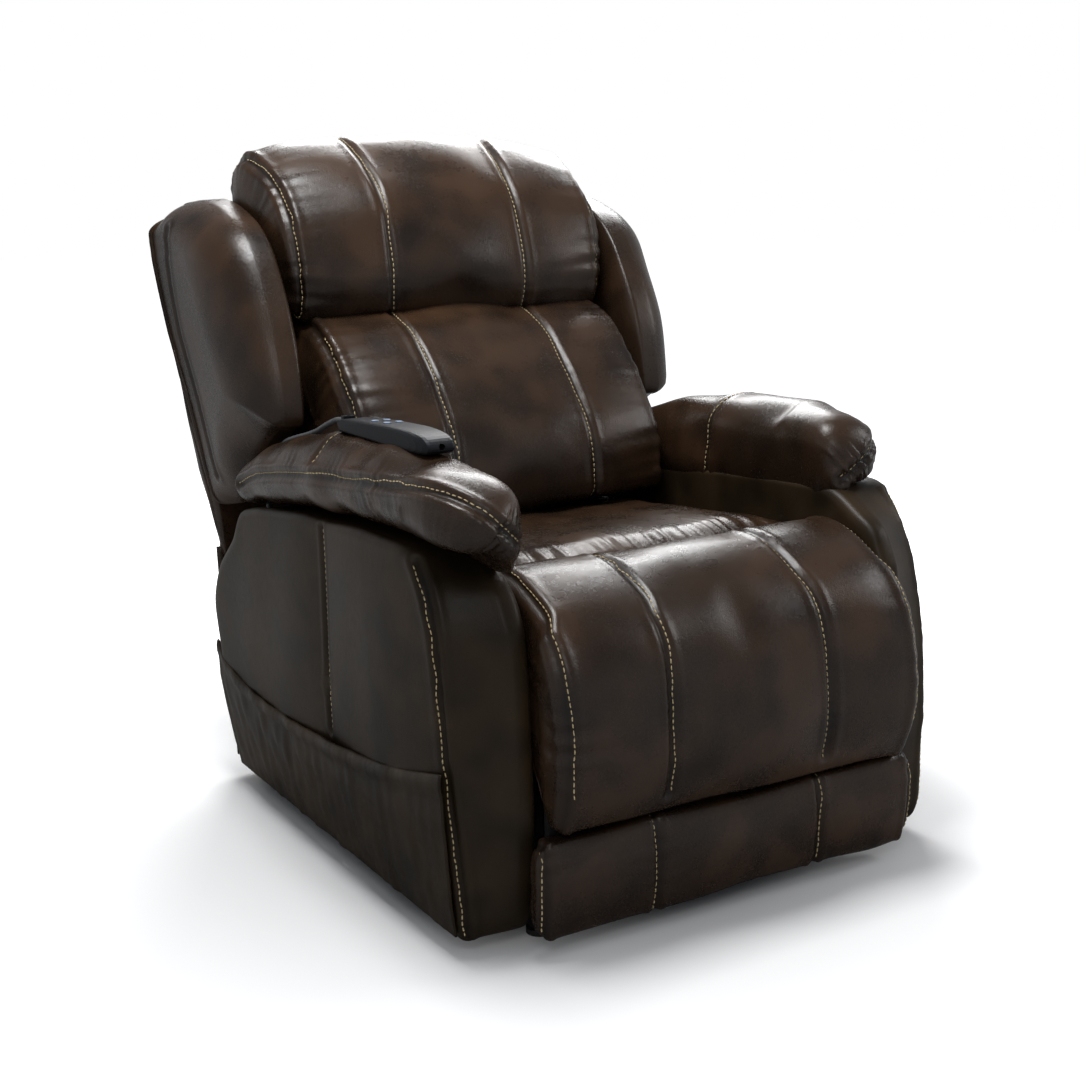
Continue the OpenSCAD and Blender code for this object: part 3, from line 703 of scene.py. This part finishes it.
curly_cord, cord_length = ribbed_tube("curly_cord", cord_route, 4.5, 1.1, 4.2)
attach(curly_cord, "chair")
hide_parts("handset_cord")
spot(*cord_route[0])
[tuple(p) for p in to_row(open_curve(cord_route, 14))]
print("cord length", round(cord_length, 3), "m")

# %% [markdown]
# The seat, the lumbar cushion and the headrest are closed bags. The lumbar cushion and the headrest
# are cut in three panels side by side, so two seams run up over them, and a gusset is sewn in at
# each end. The seat is one panel. The outlines are the frame's own, drawn a little smaller because
# the air pressure fills them out.
# %% Outlines of the cushions
SEAM = 129  # from the middle to each of the two seams


def shrink(outline, by):
    p = np.asarray(outline, float)
    m = (p.max(0) + p.min(0)) / 2
    size = (p.max(0) - p.min(0)) / 2
    return m + (p - m) * (1 - by / size)


seat_line = [[-291, 412], [-291.5, 460], [-268, 480], [-150, 478], [20, 466], [200, 456],
             [214, 440], [205, 400], [0, 398], [-240, 398]]
lumbar_line = [[300, 812], [232, 788], [180, 752], [110, 673], [66, 603], [49, 545], [52, 500],
               [90, 484], [200, 480], [300, 478], [344, 488], [391, 640], [427, 764], [404, 806]]
head_line = [[500, 1080], [460, 1091], [404, 1070], [350, 1036], [296, 972], [270, 901],
             [266, 840], [284, 800], [320, 802], [430, 815], [464, 890], [485, 962], [504, 1000],
             [516, 1050]]
low_line = [[-488, 27], [-503, 36], [-510, 100], [-505, 158], [-488, 166], [-473, 158],
            [-471, 100], [-473, 36]]


def front_of(line, edge):
    """The part of a column that shows, which edge says as a function of the points."""
    on = edge(line)
    start = next((i for i in range(len(on)) if on[i] and not on[i - 1]), 0)
    line, on = np.roll(line, -start, 0), np.roll(on, -start)
    return line[: int(on.sum())]


bags = {}


def seams_of(g, half, seams, deep, front):
    """The cross seams where they show, and the two gusset seams."""
    lines = [front_of(run_at(g, x), front) for x in seams]
    return lines, [run_at(g, x) for x in (deep * 0.5 - half, half - deep * 0.5)]


def bag(name, outline, half, seams, deep, front, smaller=7, spread=None, crown=None, **how):
    """Set up one stuffed bag, half its width to each side: its seams are pinned."""
    xs = [deep - half] + seams + [half - deep]
    g = pillow(shrink(outline, smaller), xs, deep, spread=spread, square=2.5)
    if crown:
        crown(g)
    bags[name] = half, seams, deep, front
    lines, edges = seams_of(g, *bags[name])
    stuff(name, g, lines + edges, **how)


lumbar_front = lambda p: ((p[:, 2] > 486) & (p[:, 1] < 318)
                          & (p[:, 2] > 478 + 0.2 * (p[:, 1] - 50)))
head_front = lambda p: (p[:, 2] > 806) & (p[:, 1] < 20 + 0.35 * p[:, 2]) | (p[:, 2] > 1040)
nothing = lambda p: p[:, 0] > 1e6


def domed_head(g):
    """The headrest is highest and deepest in its middle; its corners drop and fall back."""
    x, y, z = (g[:, :, k] for k in range(3))
    out = np.abs(x / 309) ** 3
    corner = np.clip((z - 880) / 140, 0, 1) * np.clip((y - 330) / 130, 0, 1)
    g[:, :, 2] = z + (18 - 38 * out) * np.clip((z - 930) / 150, 0, 1)
    g[:, :, 1] = y + 16 * out * np.clip((430 - y) / 120, 0, 1) + 14 * out * corner
    g[:, :, 0] = x * (1 + 0.05 * corner)


def domed_lumbar(g):
    """The lumbar cushion's ends fall back as well."""
    out = np.abs(g[:, :, 0] / 291) ** 3
    g[:, :, 1] += 16 * out * np.clip((300 - g[:, :, 1]) / 150, 0, 1)


bag("lumbar", lumbar_line, 291, [-SEAM, SEAM], 26, lumbar_front, 4, cap=26,
    crown=domed_lumbar, low=(-299, 30, 470), high=(299, 428, 830))
bag("head", head_line, 309, [-SEAM, SEAM], 28, head_front, 4, cap=26,
    crown=domed_head, low=(-326, 200, 770), high=(326, 534, 1114))
bag("seat", seat_line, 299, [], 20, nothing, 4, cap=16,
    rest=(lambda p: p[:, 2] < 404,), low=(-299.5, -300, 390), high=(299.5, 240, 500))
print("bags", list(bags))

# %% [markdown]
# The chaise is one long bag: the roll under the knees and the footrest's pad share their cover, which
# on the real chair bends when the footrest swings out. Behind the arms' noses it has to fit between
# them, and in front of them it is a little wider. The lower pad is a smaller bag of its own, below a
# dark gap.
# %% Outlines of the chaise and the lower pad
chaise_line = [[-299.5, 440], [-302, 478], [-330, 500], [-380, 499], [-430, 481], [-478, 455],
               [-508, 428], [-526, 396], [-537, 350], [-541, 290], [-536, 230], [-516, 176],
               [-492, 169], [-474, 184], [-472, 300], [-473, 404], [-455, 420], [-380, 403],
               [-320, 402]]


def chaise_spread(y, z):
    """The chaise's X grows from the gap between the arms to its width in front of them."""
    t = np.clip((-462 - y) / 30, 0, 1)
    return 1 + (312 / 299 - 1) * t * t * (3 - 2 * t)


chaise_front = lambda p: (p[:, 2] > 455) | (p[:, 1] < -505) & (p[:, 2] > 150)
low_front = lambda p: p[:, 1] < -486
bag("chaise", chaise_line, 299, [-SEAM, SEAM], 22, chaise_front, 2,
    spread=chaise_spread, cap=24, rest=(lambda p: (p[:, 1] > -478) & (p[:, 2] < 410),))
bag("low_pad", low_line, 325, [-140, 140], 18, low_front, 1, cap=14,
    rest=(lambda p: p[:, 1] > -474,))

# %% [markdown]
# The arm pads are filled too, but they are made of rings from the rear to the nose, because they
# are long and round: sausages that lie over the arms and hang over their noses. The left one is
# shorter.
# %% Shape of the pads, and the filling
pad_top = [[302, 568], [206, 612], [90, 636], [-16, 650], [-120, 655], [-233, 657], [-379, 648],
           [-487, 636]]
pad_under = [[302, 502], [211, 520], [3, 541], [-184, 550], [-332, 552], [-430, 546],
             [-487, 526]]
NOSE = {"right": 1.0, "left": 0.52}


def shorter(y, name):
    """The left pad is shorter ahead of y = -200."""
    return np.where(y < -200, -200 + (y + 200) * NOSE[name], y)


def pad_grid(name):
    """Rings round the pad, one behind the other, that close in at the rear and at the nose."""
    y = np.r_[272 + 30 * np.sin(np.radians(np.linspace(88, 8, 7))), np.linspace(272, -397, 68),
              -397 - 90 * np.sin(np.radians(np.linspace(7, 88, 14)))]
    rear, nose = np.clip((y - 272) / 30, 0, 1), np.clip((-397 - y) / 90, 0, 1)
    share = (1 - rear ** 2.6) ** (1 / 2.6) * (1 - nose ** 2.1) ** (1 / 2.1)
    top, under = (np.interp(-y, -np.array(e)[:, 0], np.array(e)[:, 1])
                  for e in (pad_top, pad_under))
    turn = np.linspace(0, 2 * math.pi, 58, endpoint=False)
    c, d = (np.sign(v) * np.abs(v) ** 0.78 for v in (np.cos(turn), np.sin(turn)))
    g = np.zeros((len(y), len(turn), 3))
    slim = np.clip((-200 - y) / 200, 0, 1)[:, None] * (name == "left")
    g[:, :, 0] = 361 - 14 * slim + (64 - 10 * slim) * share[:, None] * c
    g[:, :, 1] = shorter(y, name)[:, None]
    g[:, :, 2] = ((top + under) / 2)[:, None] + ((top - under) / 2 * share)[:, None] * d
    hang = np.clip((200 - y) / 60, 0, 1) * share  # the inner side reaches down to the seat
    g[:, :, 2] -= 45 * hang[:, None] * np.clip(-1.4 * c, 0, 1) * np.clip(-1.4 * d, 0, 1)
    g[:, :, 0] *= -1 if name == "right" else 1
    return g


pad_seam = [[418, 262, 548], [424, 175, 574], [426, 30, 594], [426, -131, 609], [424, -268, 619],
            [418, -340, 624], [406, -400, 620], [384, -452, 606], [352, -478, 582],
            [320, -466, 556]]


def on_pad(line, name):
    """A line of the right-hand pattern, moved to the pad of that name."""
    run = np.array(line, float)
    run[:, 0] *= -1 if name == "right" else 1
    run[:, 1] = shorter(run[:, 1], name)
    return open_curve(run, 8)


for name in ("right", "left"):
    stuff("pad_" + name, pad_grid(name), [on_pad(pad_seam, name)], cap=14, pressure=4.0, calm=6,
          rest=(lambda p: p[:, 2] < 553,), low=(-436, -505, 500), high=(436, 330, 690))

fill_all()

# %% [markdown]
# Now each bag is refined and worked, and all but the seat are then sewn. The column of the grid at
# each seam gives the line beside which the stitches lie.
# %% Work and sew the cushions
def worked(name, seed, soft, cross, gusset, firsts):
    """Refine and work one bag. soft: depth and length of its hollows. cross, gusset: for its two
    kinds of seam how deep, wide and rolled it is, and its pleats' height, length and reach."""
    c = Cover(name, stuffed[name]["grid"])
    seams, edges = seams_of(c.g, *bags[name])
    c.soften(*soft, seed)
    for lines, (deep, wide, roll, *pleats), first in zip((seams, edges), (cross, gusset), firsts):
        for n, line in enumerate(lines):
            c.draw_in(line, deep, wide, roll)
            c.gather(line, *pleats, first + n)
    return c, seams, edges


def sew_bag(c, seams, edges, front, beside=7, **how):
    ends = [front_of(e, front) for e in edges]
    sew(c, [(seams[0], 6.5), (seams[1], -6.5), (ends[0], beside), (ends[1], -beside)], **how)


cushion_seam = (4.5, 5.5, 2.0, 0.7, 26, 22)
lumbar, seams, edges = worked("lumbar", 11, (2.3, 180), cushion_seam, (6, 7, 2.5, 2.8, 35, 52),
                              (11, 18))
lumbar.build("back", ["lumbar_cushion"], hide)
sew_bag(lumbar, seams, edges, lambda p: (p[:, 1] < 240) & (p[:, 2] > 520))

head, seams, edges = worked("head", 12, (2.3, 180), cushion_seam, (6, 7, 2.5, 2.6, 35, 48),
                            (12, 19))
head.build("back", ["headrest_cushion"], hide)
sew_bag(head, seams, edges, lambda p: (p[:, 1] < 460) & (p[:, 2] > 830))

seat = Cover("seat", stuffed["seat"]["grid"])
seat.soften(2.0, 150, 13)
seat_front = np.array([[x, -262, 478] for x in range(-290, 291, 10)], float)
seat.gather(seat_front, 5.0, 26, 60, 51)
seat.build("chair", ["seat_cushion"], hide)

# %% [markdown]
# The chaise is built without a body of its own, and so are its stitches: both stay fixed where they
# are made, though on the real chair the chaise bends between the chair and the footrest about their
# shared hinge.
# %% Chaise and lower pad
chaise, seams, edges = worked("chaise", 14, (2.5, 200), (5, 6, 2.2, 0.8, 26, 24),
                              (5, 7, 2.5, 2.0, 40, 40), (61, 66))
chaise_bend = ("chair", "ottoman", spot(0, -430, 470), spot(0, -525, 375))
chaise.build(None, ["knee_roll", "footrest_pad"], hide)
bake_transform(chaise.object)
sew_bag(chaise, seams, edges, lambda p: (p[:, 2] > 462) | (p[:, 1] < -505) & (p[:, 2] > 165),
        blended=chaise_bend)

low_pad, seams, edges = worked("low_pad", 15, (1.6, 160), (4, 5.5, 2, 0.8, 24, 30),
                               (4, 6, 2, 2.0, 30, 34), (71, 76))
low_pad.build("ottoman", ["lower_foot_pad"], hide)
sew_bag(low_pad, seams, edges, low_front, 6)

# %% [markdown]
# The arm below its pad is a box of timber with padded leather over it: a wide outer side, a narrow
# front that swells forward, and an inner side beside the seat. One closed cover stands for the
# three, with a seam along the front's outer edge and one upright in the outer side. The flat sides
# are rings of the outline that shrink to its middle.
# %% Arms
front_edge = [[-458, 21], [-461, 50], [-452, 105], [-441, 161], [-423, 266], [-412, 358],
              [-400, 440], [-376, 500], [-340, 545]]
arm_line = front_edge + [[-184, 544], [3, 534], [211, 513], [290, 497], [315, 448], [393, 384],
                         [425, 324], [414, 255], [409, 21]]


def tucked(g):
    """The arm stands on a smaller foot than its middle: its lower corners lie further in."""
    x, y, z = (g[..., k].copy() for k in range(3))
    low = np.clip((190 - z) / 170, 0, 1)
    rear, front = np.clip((y - 200) / 200, 0, 1), np.clip((-200 - y) / 250, 0, 1)
    g[..., 1] = y - 26 * low * rear + 18 * low * front
    g[..., 0] = x - np.sign(x) * 9 * low * np.clip((np.abs(x) - 360) / 50, 0, 1)
    return g


def arm_grid():
    p = np.asarray(arm_line, float)
    u = np.vstack([even(np.array([a, b]), 9)[:-1] for a, b in zip(p, np.roll(p, -1, 0))])
    for _ in range(6):
        u = (np.roll(u, 1, 0) + 2 * u + np.roll(u, -1, 0)) / 4
    inner = [(301.2, s) for s in np.linspace(0.03, 0.95, 22)]
    inner += [(301.6, 0.966), (303, 0.978), (306, 0.989), (311, 0.997)]
    across = [(x, 1.0) for x in np.linspace(317, 396, 12)]
    outer = [(402, 0.998), (407, 0.992), (411, 0.982), (413.4, 0.968), (414, 0.95)]
    outer += [(414, s) for s in np.linspace(0.92, 0.03, 24)]
    g = loft(u, inner + across + outer)
    x, y, z = (g[:, :, k].copy() for k in range(3))
    outer = 13 * np.sin(np.pi * np.clip((z - 120) / 400, 0, 1))
    inner = np.interp(z, [21, 161, 266, 358, 440, 500, 540], [3, 26, 44, 54, 56, 46, 20])
    across = np.clip((414 - x) / 84, 0, 1) ** 1.3
    g[:, :, 1] -= np.clip((-330 - y) / 50, 0, 1) * (outer + (inner - outer) * across)
    return tucked(g)


def along_front(x, inset):
    """The seam of one side, inset behind the front edge."""
    e = open_curve([[x, y + inset, z] for y, z in front_edge[:-1]] + [[x, -352 + inset, 532]], 6)
    return tucked(e[e[:, 2] > 26])


for side, name in ((-1, "right"), (1, "left")):
    g = arm_grid()
    if side < 0:
        g[:, :, 0] *= -1
    arm = Cover("arm_" + name, g)
    p = arm.flat()
    outside = np.clip((np.abs(p[:, 0]) - 402) / 8, 0, 1)
    seam = near(arm, along_front(side * 413, -2))
    middle = near(arm, [[side * 414, -50, z] for z in (524, 215)])
    far = np.minimum(way_to(p, seam)[0], way_to(p, middle)[0])
    full = 8 + 7 * np.sin(np.pi * np.clip((p[:, 2] - 120) / 400, 0, 1))
    arm.push(outside * full * (1 - np.exp(-far / 60)))
    arm.soften(1.2, 230, 81 + side)
    arm.draw_in(seam, 3.5, 6, 2.0)
    arm.draw_in(middle, 2.6, 5, 1.2)
    arm.gather(seam, 0.8, 34, 30, 84 + side)
    arm.build("chair", ["arm_outer_panel_" + name, "arm_inner_panel_" + name, "arm_front_" + name],
              panel_hide, slot="panel_leather")
    sew(arm, [(seam, -6.5 * side), (middle, -5.5 * side)])

# %% [markdown]
# The arm pads. A seam runs along the outer side and round the nose, with short pleats fanned out
# below it where the cover is gathered to go round the bend, and one seam crosses over the top.
# %% Arm pads
pad_cross = [[297, -22, 530], [297, -28, 570], [300, -31, 604], [312, -33, 634], [340, -35, 651],
             [370, -36, 654], [402, -40, 644], [422, -42, 616]]
below = lambda q: (1 / (1 + np.exp((q[:, 2] - 604) / 5))
                   * np.clip((-150 - q[:, 1]) / 90, 0.15, 1))
above = lambda q: np.clip((q[:, 2] - 600) / 12, 0, 1) * np.clip((q[:, 1] + 330) / 60, 0.3, 1)
for side, name in ((-1, "right"), (1, "left")):
    pad = Cover("pad_" + name, stuffed["pad_" + name]["grid"])
    seam = near(pad, on_pad(pad_seam, name))
    cross = near(pad, on_pad(pad_cross, name))
    pad.soften(2.0, 130, 91 + side)
    pad.draw_in(seam, 5, 6, 2.6)
    pad.draw_in(cross, 3.0, 5, 1.6)
    pad.gather(seam, 4.0, 15, 40, 94 + side, below)
    pad.gather(seam, 1.7, 22, 30, 97 + side, above)
    pad.build("chair", ["arm_pad_" + name], hide)
    sew(pad, [(seam, -5.5 * side), (cross, 5.5)])

# %% [markdown]
# The wings are plain bolsters, pulled tight, so they are drawn smooth and need no filling. Only one
# seam runs down the outer side, dark from painted shade where it is drawn in.
# %% Wings
wing_line = [[200, 650], [218, 754], [264, 858], [328, 946], [424, 996], [512, 1012], [562, 990],
             [569, 900], [544, 780], [506, 620], [477, 500], [420, 486], [360, 528], [306, 592],
             [240, 630]]
ROLL = 350  # the roll begins here and ends at the outer side
# Y, Z and depth of the roll
rim = np.array([[420, 486, 60], [360, 528, 70], [306, 592, 85], [240, 630, 100], [200, 650, 110],
                [218, 754, 125], [264, 858, 125], [328, 946, 105], [424, 996, 80], [512, 1012, 60],
                [562, 990, 42]], float)


def half_width(z):
    """How far the back reaches sideways at a height: it widens upwards."""
    return np.interp(z, [396, 490, 620, 780, 900, 960], [392, 400, 416, 432, 439, 440])


wing_seam = [[428, 540], [456, 640], [494, 780], [512, 880], [505, 955]]


def roll_side(g):
    """The outer side of a wing rolls away from its front and top edge in one round sweep."""
    x, y, z = (g[:, :, k].copy() for k in range(3))
    edge = open_curve(rim, 1.5)
    far = np.min(np.hypot(y[..., None] - edge[:, 0], z[..., None] - edge[:, 1]) / edge[:, 2], 2)
    lift = np.sqrt(1 - (1 - np.clip(far, 0, 1)) ** 2)
    g[:, :, 0] = np.where(x > ROLL + 0.01, ROLL + (half_width(z) - ROLL) * lift, x)
    high = np.clip((z - 760) / 180, 0, 1) * np.clip((y - 380) / 160, 0, 1)
    g[:, :, 1] = y + 14 * high
    g[:, :, 2] = z - 8 * np.clip((z - 900) / 110, 0, 1)


for side, name in ((-1, "right"), (1, "left")):
    g = pillow(shrink(wing_line, 1), [309 + 24, ROLL], 24, step=6, square=2.2, caps=26)
    roll_side(g)
    g[:, :, 0] *= side
    wing = Cover("wing_" + name, g)
    wing.soften(2.2, 260, 101 + side)
    edge = near(wing, open_curve([[side * (half_width(z) - 3), y, z] for y, z in wing_seam], 8))
    wing.draw_in(edge, 3.0, 6, 1.5)
    wing.gather(edge, 3.4, 26, 52, 104 + side, lambda q: np.clip((q[:, 2] - 880) / 50, 0.1, 1))
    wing.build("back", ["wing_" + name], hide)

# %% [markdown]
# The pocket is a flat bag on the outer side of the right arm. Its mouth is turned over an elastic,
# which gathers the leather into a soft rolled hem with pleats running down from it.
# %% Side pocket
mouth = [[430, 250], [382, 222], [266, 200], [92, 197], [-111, 209], [-287, 231], [-430, 262]]


top = open_curve(mouth[::-1], 5)
low = np.array([np.interp(np.linspace(0, 1, len(top)), [0, 1], [-448, 405]),
                np.full(len(top), 34.0)]).T
levels = np.r_[0, 0.02, 0.05, 0.09, 0.13, np.linspace(0.17, 1, 34)]  # from the mouth down
yz = np.array([top * (1 - t) + low * t for t in levels])
depth = np.interp(levels, [0, 0.03, 0.1, 0.14, 0.3, 0.8, 1.0], [9, 14.5, 14.5, 10, 12.5, 8, 1.5])
taper = np.sin(np.pi * np.clip(np.linspace(0, 1, len(top)), 0.02, 0.98)) ** 0.25
along = np.linspace(0, 1, yz.shape[1]) * 880
pleat = (wave(along, 12, 111)[None] * np.exp(-levels / 0.14)[:, None] * 0.45
         + wave(along, 52, 112)[None] * np.clip(levels / 0.25, 0, 1)[:, None] * 1.3
         + wave(along[None] + 130 * levels[:, None], 95, 113) * 1.5)
outer_x = -420.0 - np.maximum(depth[:, None] * taper[None] + pleat * taper[None], 0.9)
front_face = tucked(np.concatenate([outer_x[..., None], yz], -1))
back_x = np.minimum(outer_x + 3, -414.4)
back_face = tucked(np.concatenate([back_x[..., None], yz], -1))
pocket = thick_sheet("side_pocket_leather", front_face, back_face, panel_hide)
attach(pocket, "chair")
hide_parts("side_pocket")

# %% [markdown]
# The outside of the back is one plain panel, stretched over the posts and closed round the wings'
# rear edges. Its top corners are round like the wings. It has a border seam and one in its middle,
# in dark thread, because nobody is meant to look at them.
# %% Outside of the back
back_line = [[484, 398], [500, 392], [504, 480], [534, 620], [573, 780], [602, 900], [600, 990],
             [582, 1002], [574, 990], [581, 900], [552, 780], [514, 620], [485, 500]]


def round_corners(g):
    """The half width follows the arcs that round the panel's two upper corners."""
    z = g[:, :, 2]
    arc = 462 - np.sqrt(np.clip(104 ** 2 - (z - 1036) ** 2, 0, None))
    g[:, :, 0] *= np.minimum(half_width(z) - 2, np.where(z > 932, arc, 999)) / 424


g = pillow(back_line, np.array([-412, 0, 412]), 12, step=13)
round_corners(g)
outside = Cover("outside_back_leather", g)
p = outside.flat()
levels = [398, 500, 620, 780, 900, 990]
rear = (p[:, 1] > np.interp(p[:, 2], levels, [491, 496, 524, 562, 591, 590])).astype(float)
edge = 1 - np.clip(np.abs(p[:, 0]) / 420, 0, 1) ** 6
outside.push(rear * 7 * edge * np.sin(np.pi * np.clip((p[:, 2] - 396) / 600, 0, 1)) ** 0.5)
left_half = [(392, 410), (392, 600), (392, 800), (384, 905), (340, 968), (200, 978)]
border = [[x, np.interp(z, levels, [500, 506, 535, 574, 603, 601]), z]
          for x, z in [(-x, z) for x, z in left_half] + [(0, 978)] + left_half[::-1]]
border = near(outside, open_curve(border, 12))
spine = near(outside, open_curve([[0, 506, 410], [0, 535, 620], [0, 574, 780], [0, 603, 900],
                                  [0, 602, 972]], 12))
outside.soften(1.8, 260, 121)
for n, line in enumerate((border, spine)):
    outside.draw_in(line, 3.5, 6, 1.5)
    outside.gather(line, 1.0, 34, 40, 122 + n)
outside.build("back", ["outside_back"], hide, slot="panel_leather")
sew(outside, [(border, 7), (spine, 6), (spine, -6)], material=dark_thread)

# %% [markdown]
# Below it a flap of the same leather closes the gap to the seat box. On the real chair it follows
# the back when that reclines; here it stays fixed where it is made. The seat box itself is closed
# by a stapled panel with a cut-out for the mains inlet.
# %% Rear flap and rear panel
flap_line = open_curve([[429, 182], [434, 200], [458, 240], [480, 280], [492, 327], [497, 370],
                        [499, 400]], 9)
xs = columns(np.array([-392.0, 392.0]), 12)
run = np.linspace(0, 1, len(flap_line))
slack = np.sin(np.pi * run)[None, :] * (2.5 * wave(xs, 130, 131)[:, None] + 3)
outer = np.zeros((len(xs), len(flap_line), 3))
outer[:, :, 0] = xs[:, None]
outer[:, :, 1] = flap_line[None, :, 0] + slack
outer[:, :, 2] = flap_line[None, :, 1]
flap = thick_sheet("rear_flap", outer, outer - [0, 3, 0], hide)
spot(0, 434, 200)
spot(0, 498, 385)
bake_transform(flap)

xs = np.r_[np.linspace(-404, -386, 4), np.linspace(-384.2, -343.8, 6), np.linspace(-341, 404, 60)]
zs = np.r_[np.linspace(36, 91, 8), np.linspace(93.8, 126.2, 5), np.linspace(129, 190, 9)]
outer = np.zeros((len(xs), len(zs), 3))
outer[:, :, 0], outer[:, :, 2] = xs[:, None], zs[None]
INLET_X, INLET_Z = -364, 110
calm = np.clip(np.hypot(xs[:, None] - INLET_X, (zs[None] - INLET_Z) * 1.5) / 60 - 0.7, 0, 1)
outer[:, :, 1] = 428.5 + calm * (1.2 * wave(xs, 160, 132)[:, None] + 1.2)
edge = (np.abs(xs[:, None]) > 403) | (zs[None] < 38) | (zs[None] > 188)
outer[:, :, 1] -= 2.5 * edge
inner = outer.copy()
inner[:, :, 1] = 420
beside = np.abs((xs[1:] + xs[:-1])[:, None] / 2 - INLET_X) < 20
level = np.abs((zs[1:] + zs[:-1])[None] / 2 - INLET_Z) < 16
hole = beside & level
closing = thick_sheet("rear_panel_leather", outer, inner, panel_hide, keep=~hole)
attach(closing, "chair")
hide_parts("rear_panel")

# %% [markdown]
# The floor is a wide pale sheet under soft lamps above, in front, beside and behind. The camera and
# glass see it as plain white further out, mirrors see a part of that white, and near the chair it
# takes the shadow. To mirrors the floor's own colour is a dark grey instead of pale: painted shade
# in what the hide reflects of it.
# %% Stage and light
DIM = (0.21, 0.22, 0.235)


MIRROR_SHARE = 0.3  # of the white, so that the dark hide stays dark


def seen_white(f):
    """How much of the plain white is seen, and 1 where a mirror looks."""
    rays = f.tree.nodes.new("ShaderNodeLightPath")
    camera, glossy, through = (Link(f.tree, rays.outputs[f"Is {k} Ray"])
                               for k in ("Camera", "Glossy", "Transmission"))
    return camera + through + glossy * MIRROR_SHARE, glossy


def stage():
    f = Finish("studio_floor")
    seen, mirrored = seen_white(f)
    place = f.node("NewGeometry", out=0)
    far = f.node("VectorMath", out=1, settings={"operation": "DISTANCE"}, Vector=place)
    near_chair = f.ramp(far / 3.0, [(0.16, (0, 0, 0)), (0.28, (0.3, 0.3, 0.3)), (0.55, (1, 1, 1))])
    glow = f.node("VectorMath", settings={"operation": "SCALE"}, Vector=near_chair, Scale=seen)
    # Painted shade: mirror rays see the floor's colour as dark grey instead of pale, which darkens its reflection
    # in the hide.
    floor_tone_with_mirror_shade = f.mix(mirrored, (0.86, 0.86, 0.86), (0.12, 0.12, 0.12))
    f.set(Base_Color=floor_tone_with_mirror_shade, Roughness=0.9, Emission_Color=glow)
    f.shader.inputs["Emission Strength"].default_value = 1.0
    mesh = bpy.data.meshes.new("studio_floor")
    mesh.from_pydata([(-60, -60, 0), (60, -60, 0), (60, 60, 0), (-60, 60, 0)], [], [(0, 1, 2, 3)])
    mesh.materials.append(f.material)
    link("studio_floor", mesh)
    world = bpy.data.worlds.new("studio")
    world.use_nodes = True
    w = Nodes(world.node_tree)
    w.tree.nodes.clear()
    seen, _ = seen_white(w)
    up = w.node("SeparateXYZ", out=2, Vector=w.node("TexCoord", out=0))
    walls = w.ramp(up, [(0.25, (1, 1, 1)), (0.5, DIM)])
    light = w.node("Background", Color=w.mix(seen, DIM, walls))
    w.node("OutputWorld", out=None, Surface=light)
    bpy.context.scene.world = world


def lamp(name, place, size, power):
    """A soft rectangular lamp that is aimed at the middle of the chair."""
    data = bpy.data.lights.new(name, "AREA")
    data.shape, data.size, data.size_y = "RECTANGLE", size[0], size[1]
    data.energy = power
    o = link(name, data)
    o.location = place
    o.rotation_euler = (Vector((0, 0, 0.6)) - o.location).to_track_quat("-Z", "Y").to_euler()
    o.visible_camera = False


stage()
lamp("top_light", (-0.45, -0.15, 2.9), (0.9, 0.7), 58)
lamp("front_light", (-1.6, -2.6, 2.3), (1.0, 0.8), 9)
lamp("side_light", (2.6, -1.2, 2.0), (0.9, 0.9), 14)
lamp("rear_light", (1.3, 2.1, 2.4), (1.9, 1.3), 85)
bpy.context.scene.view_settings.view_transform = "Standard"
print("stage set")
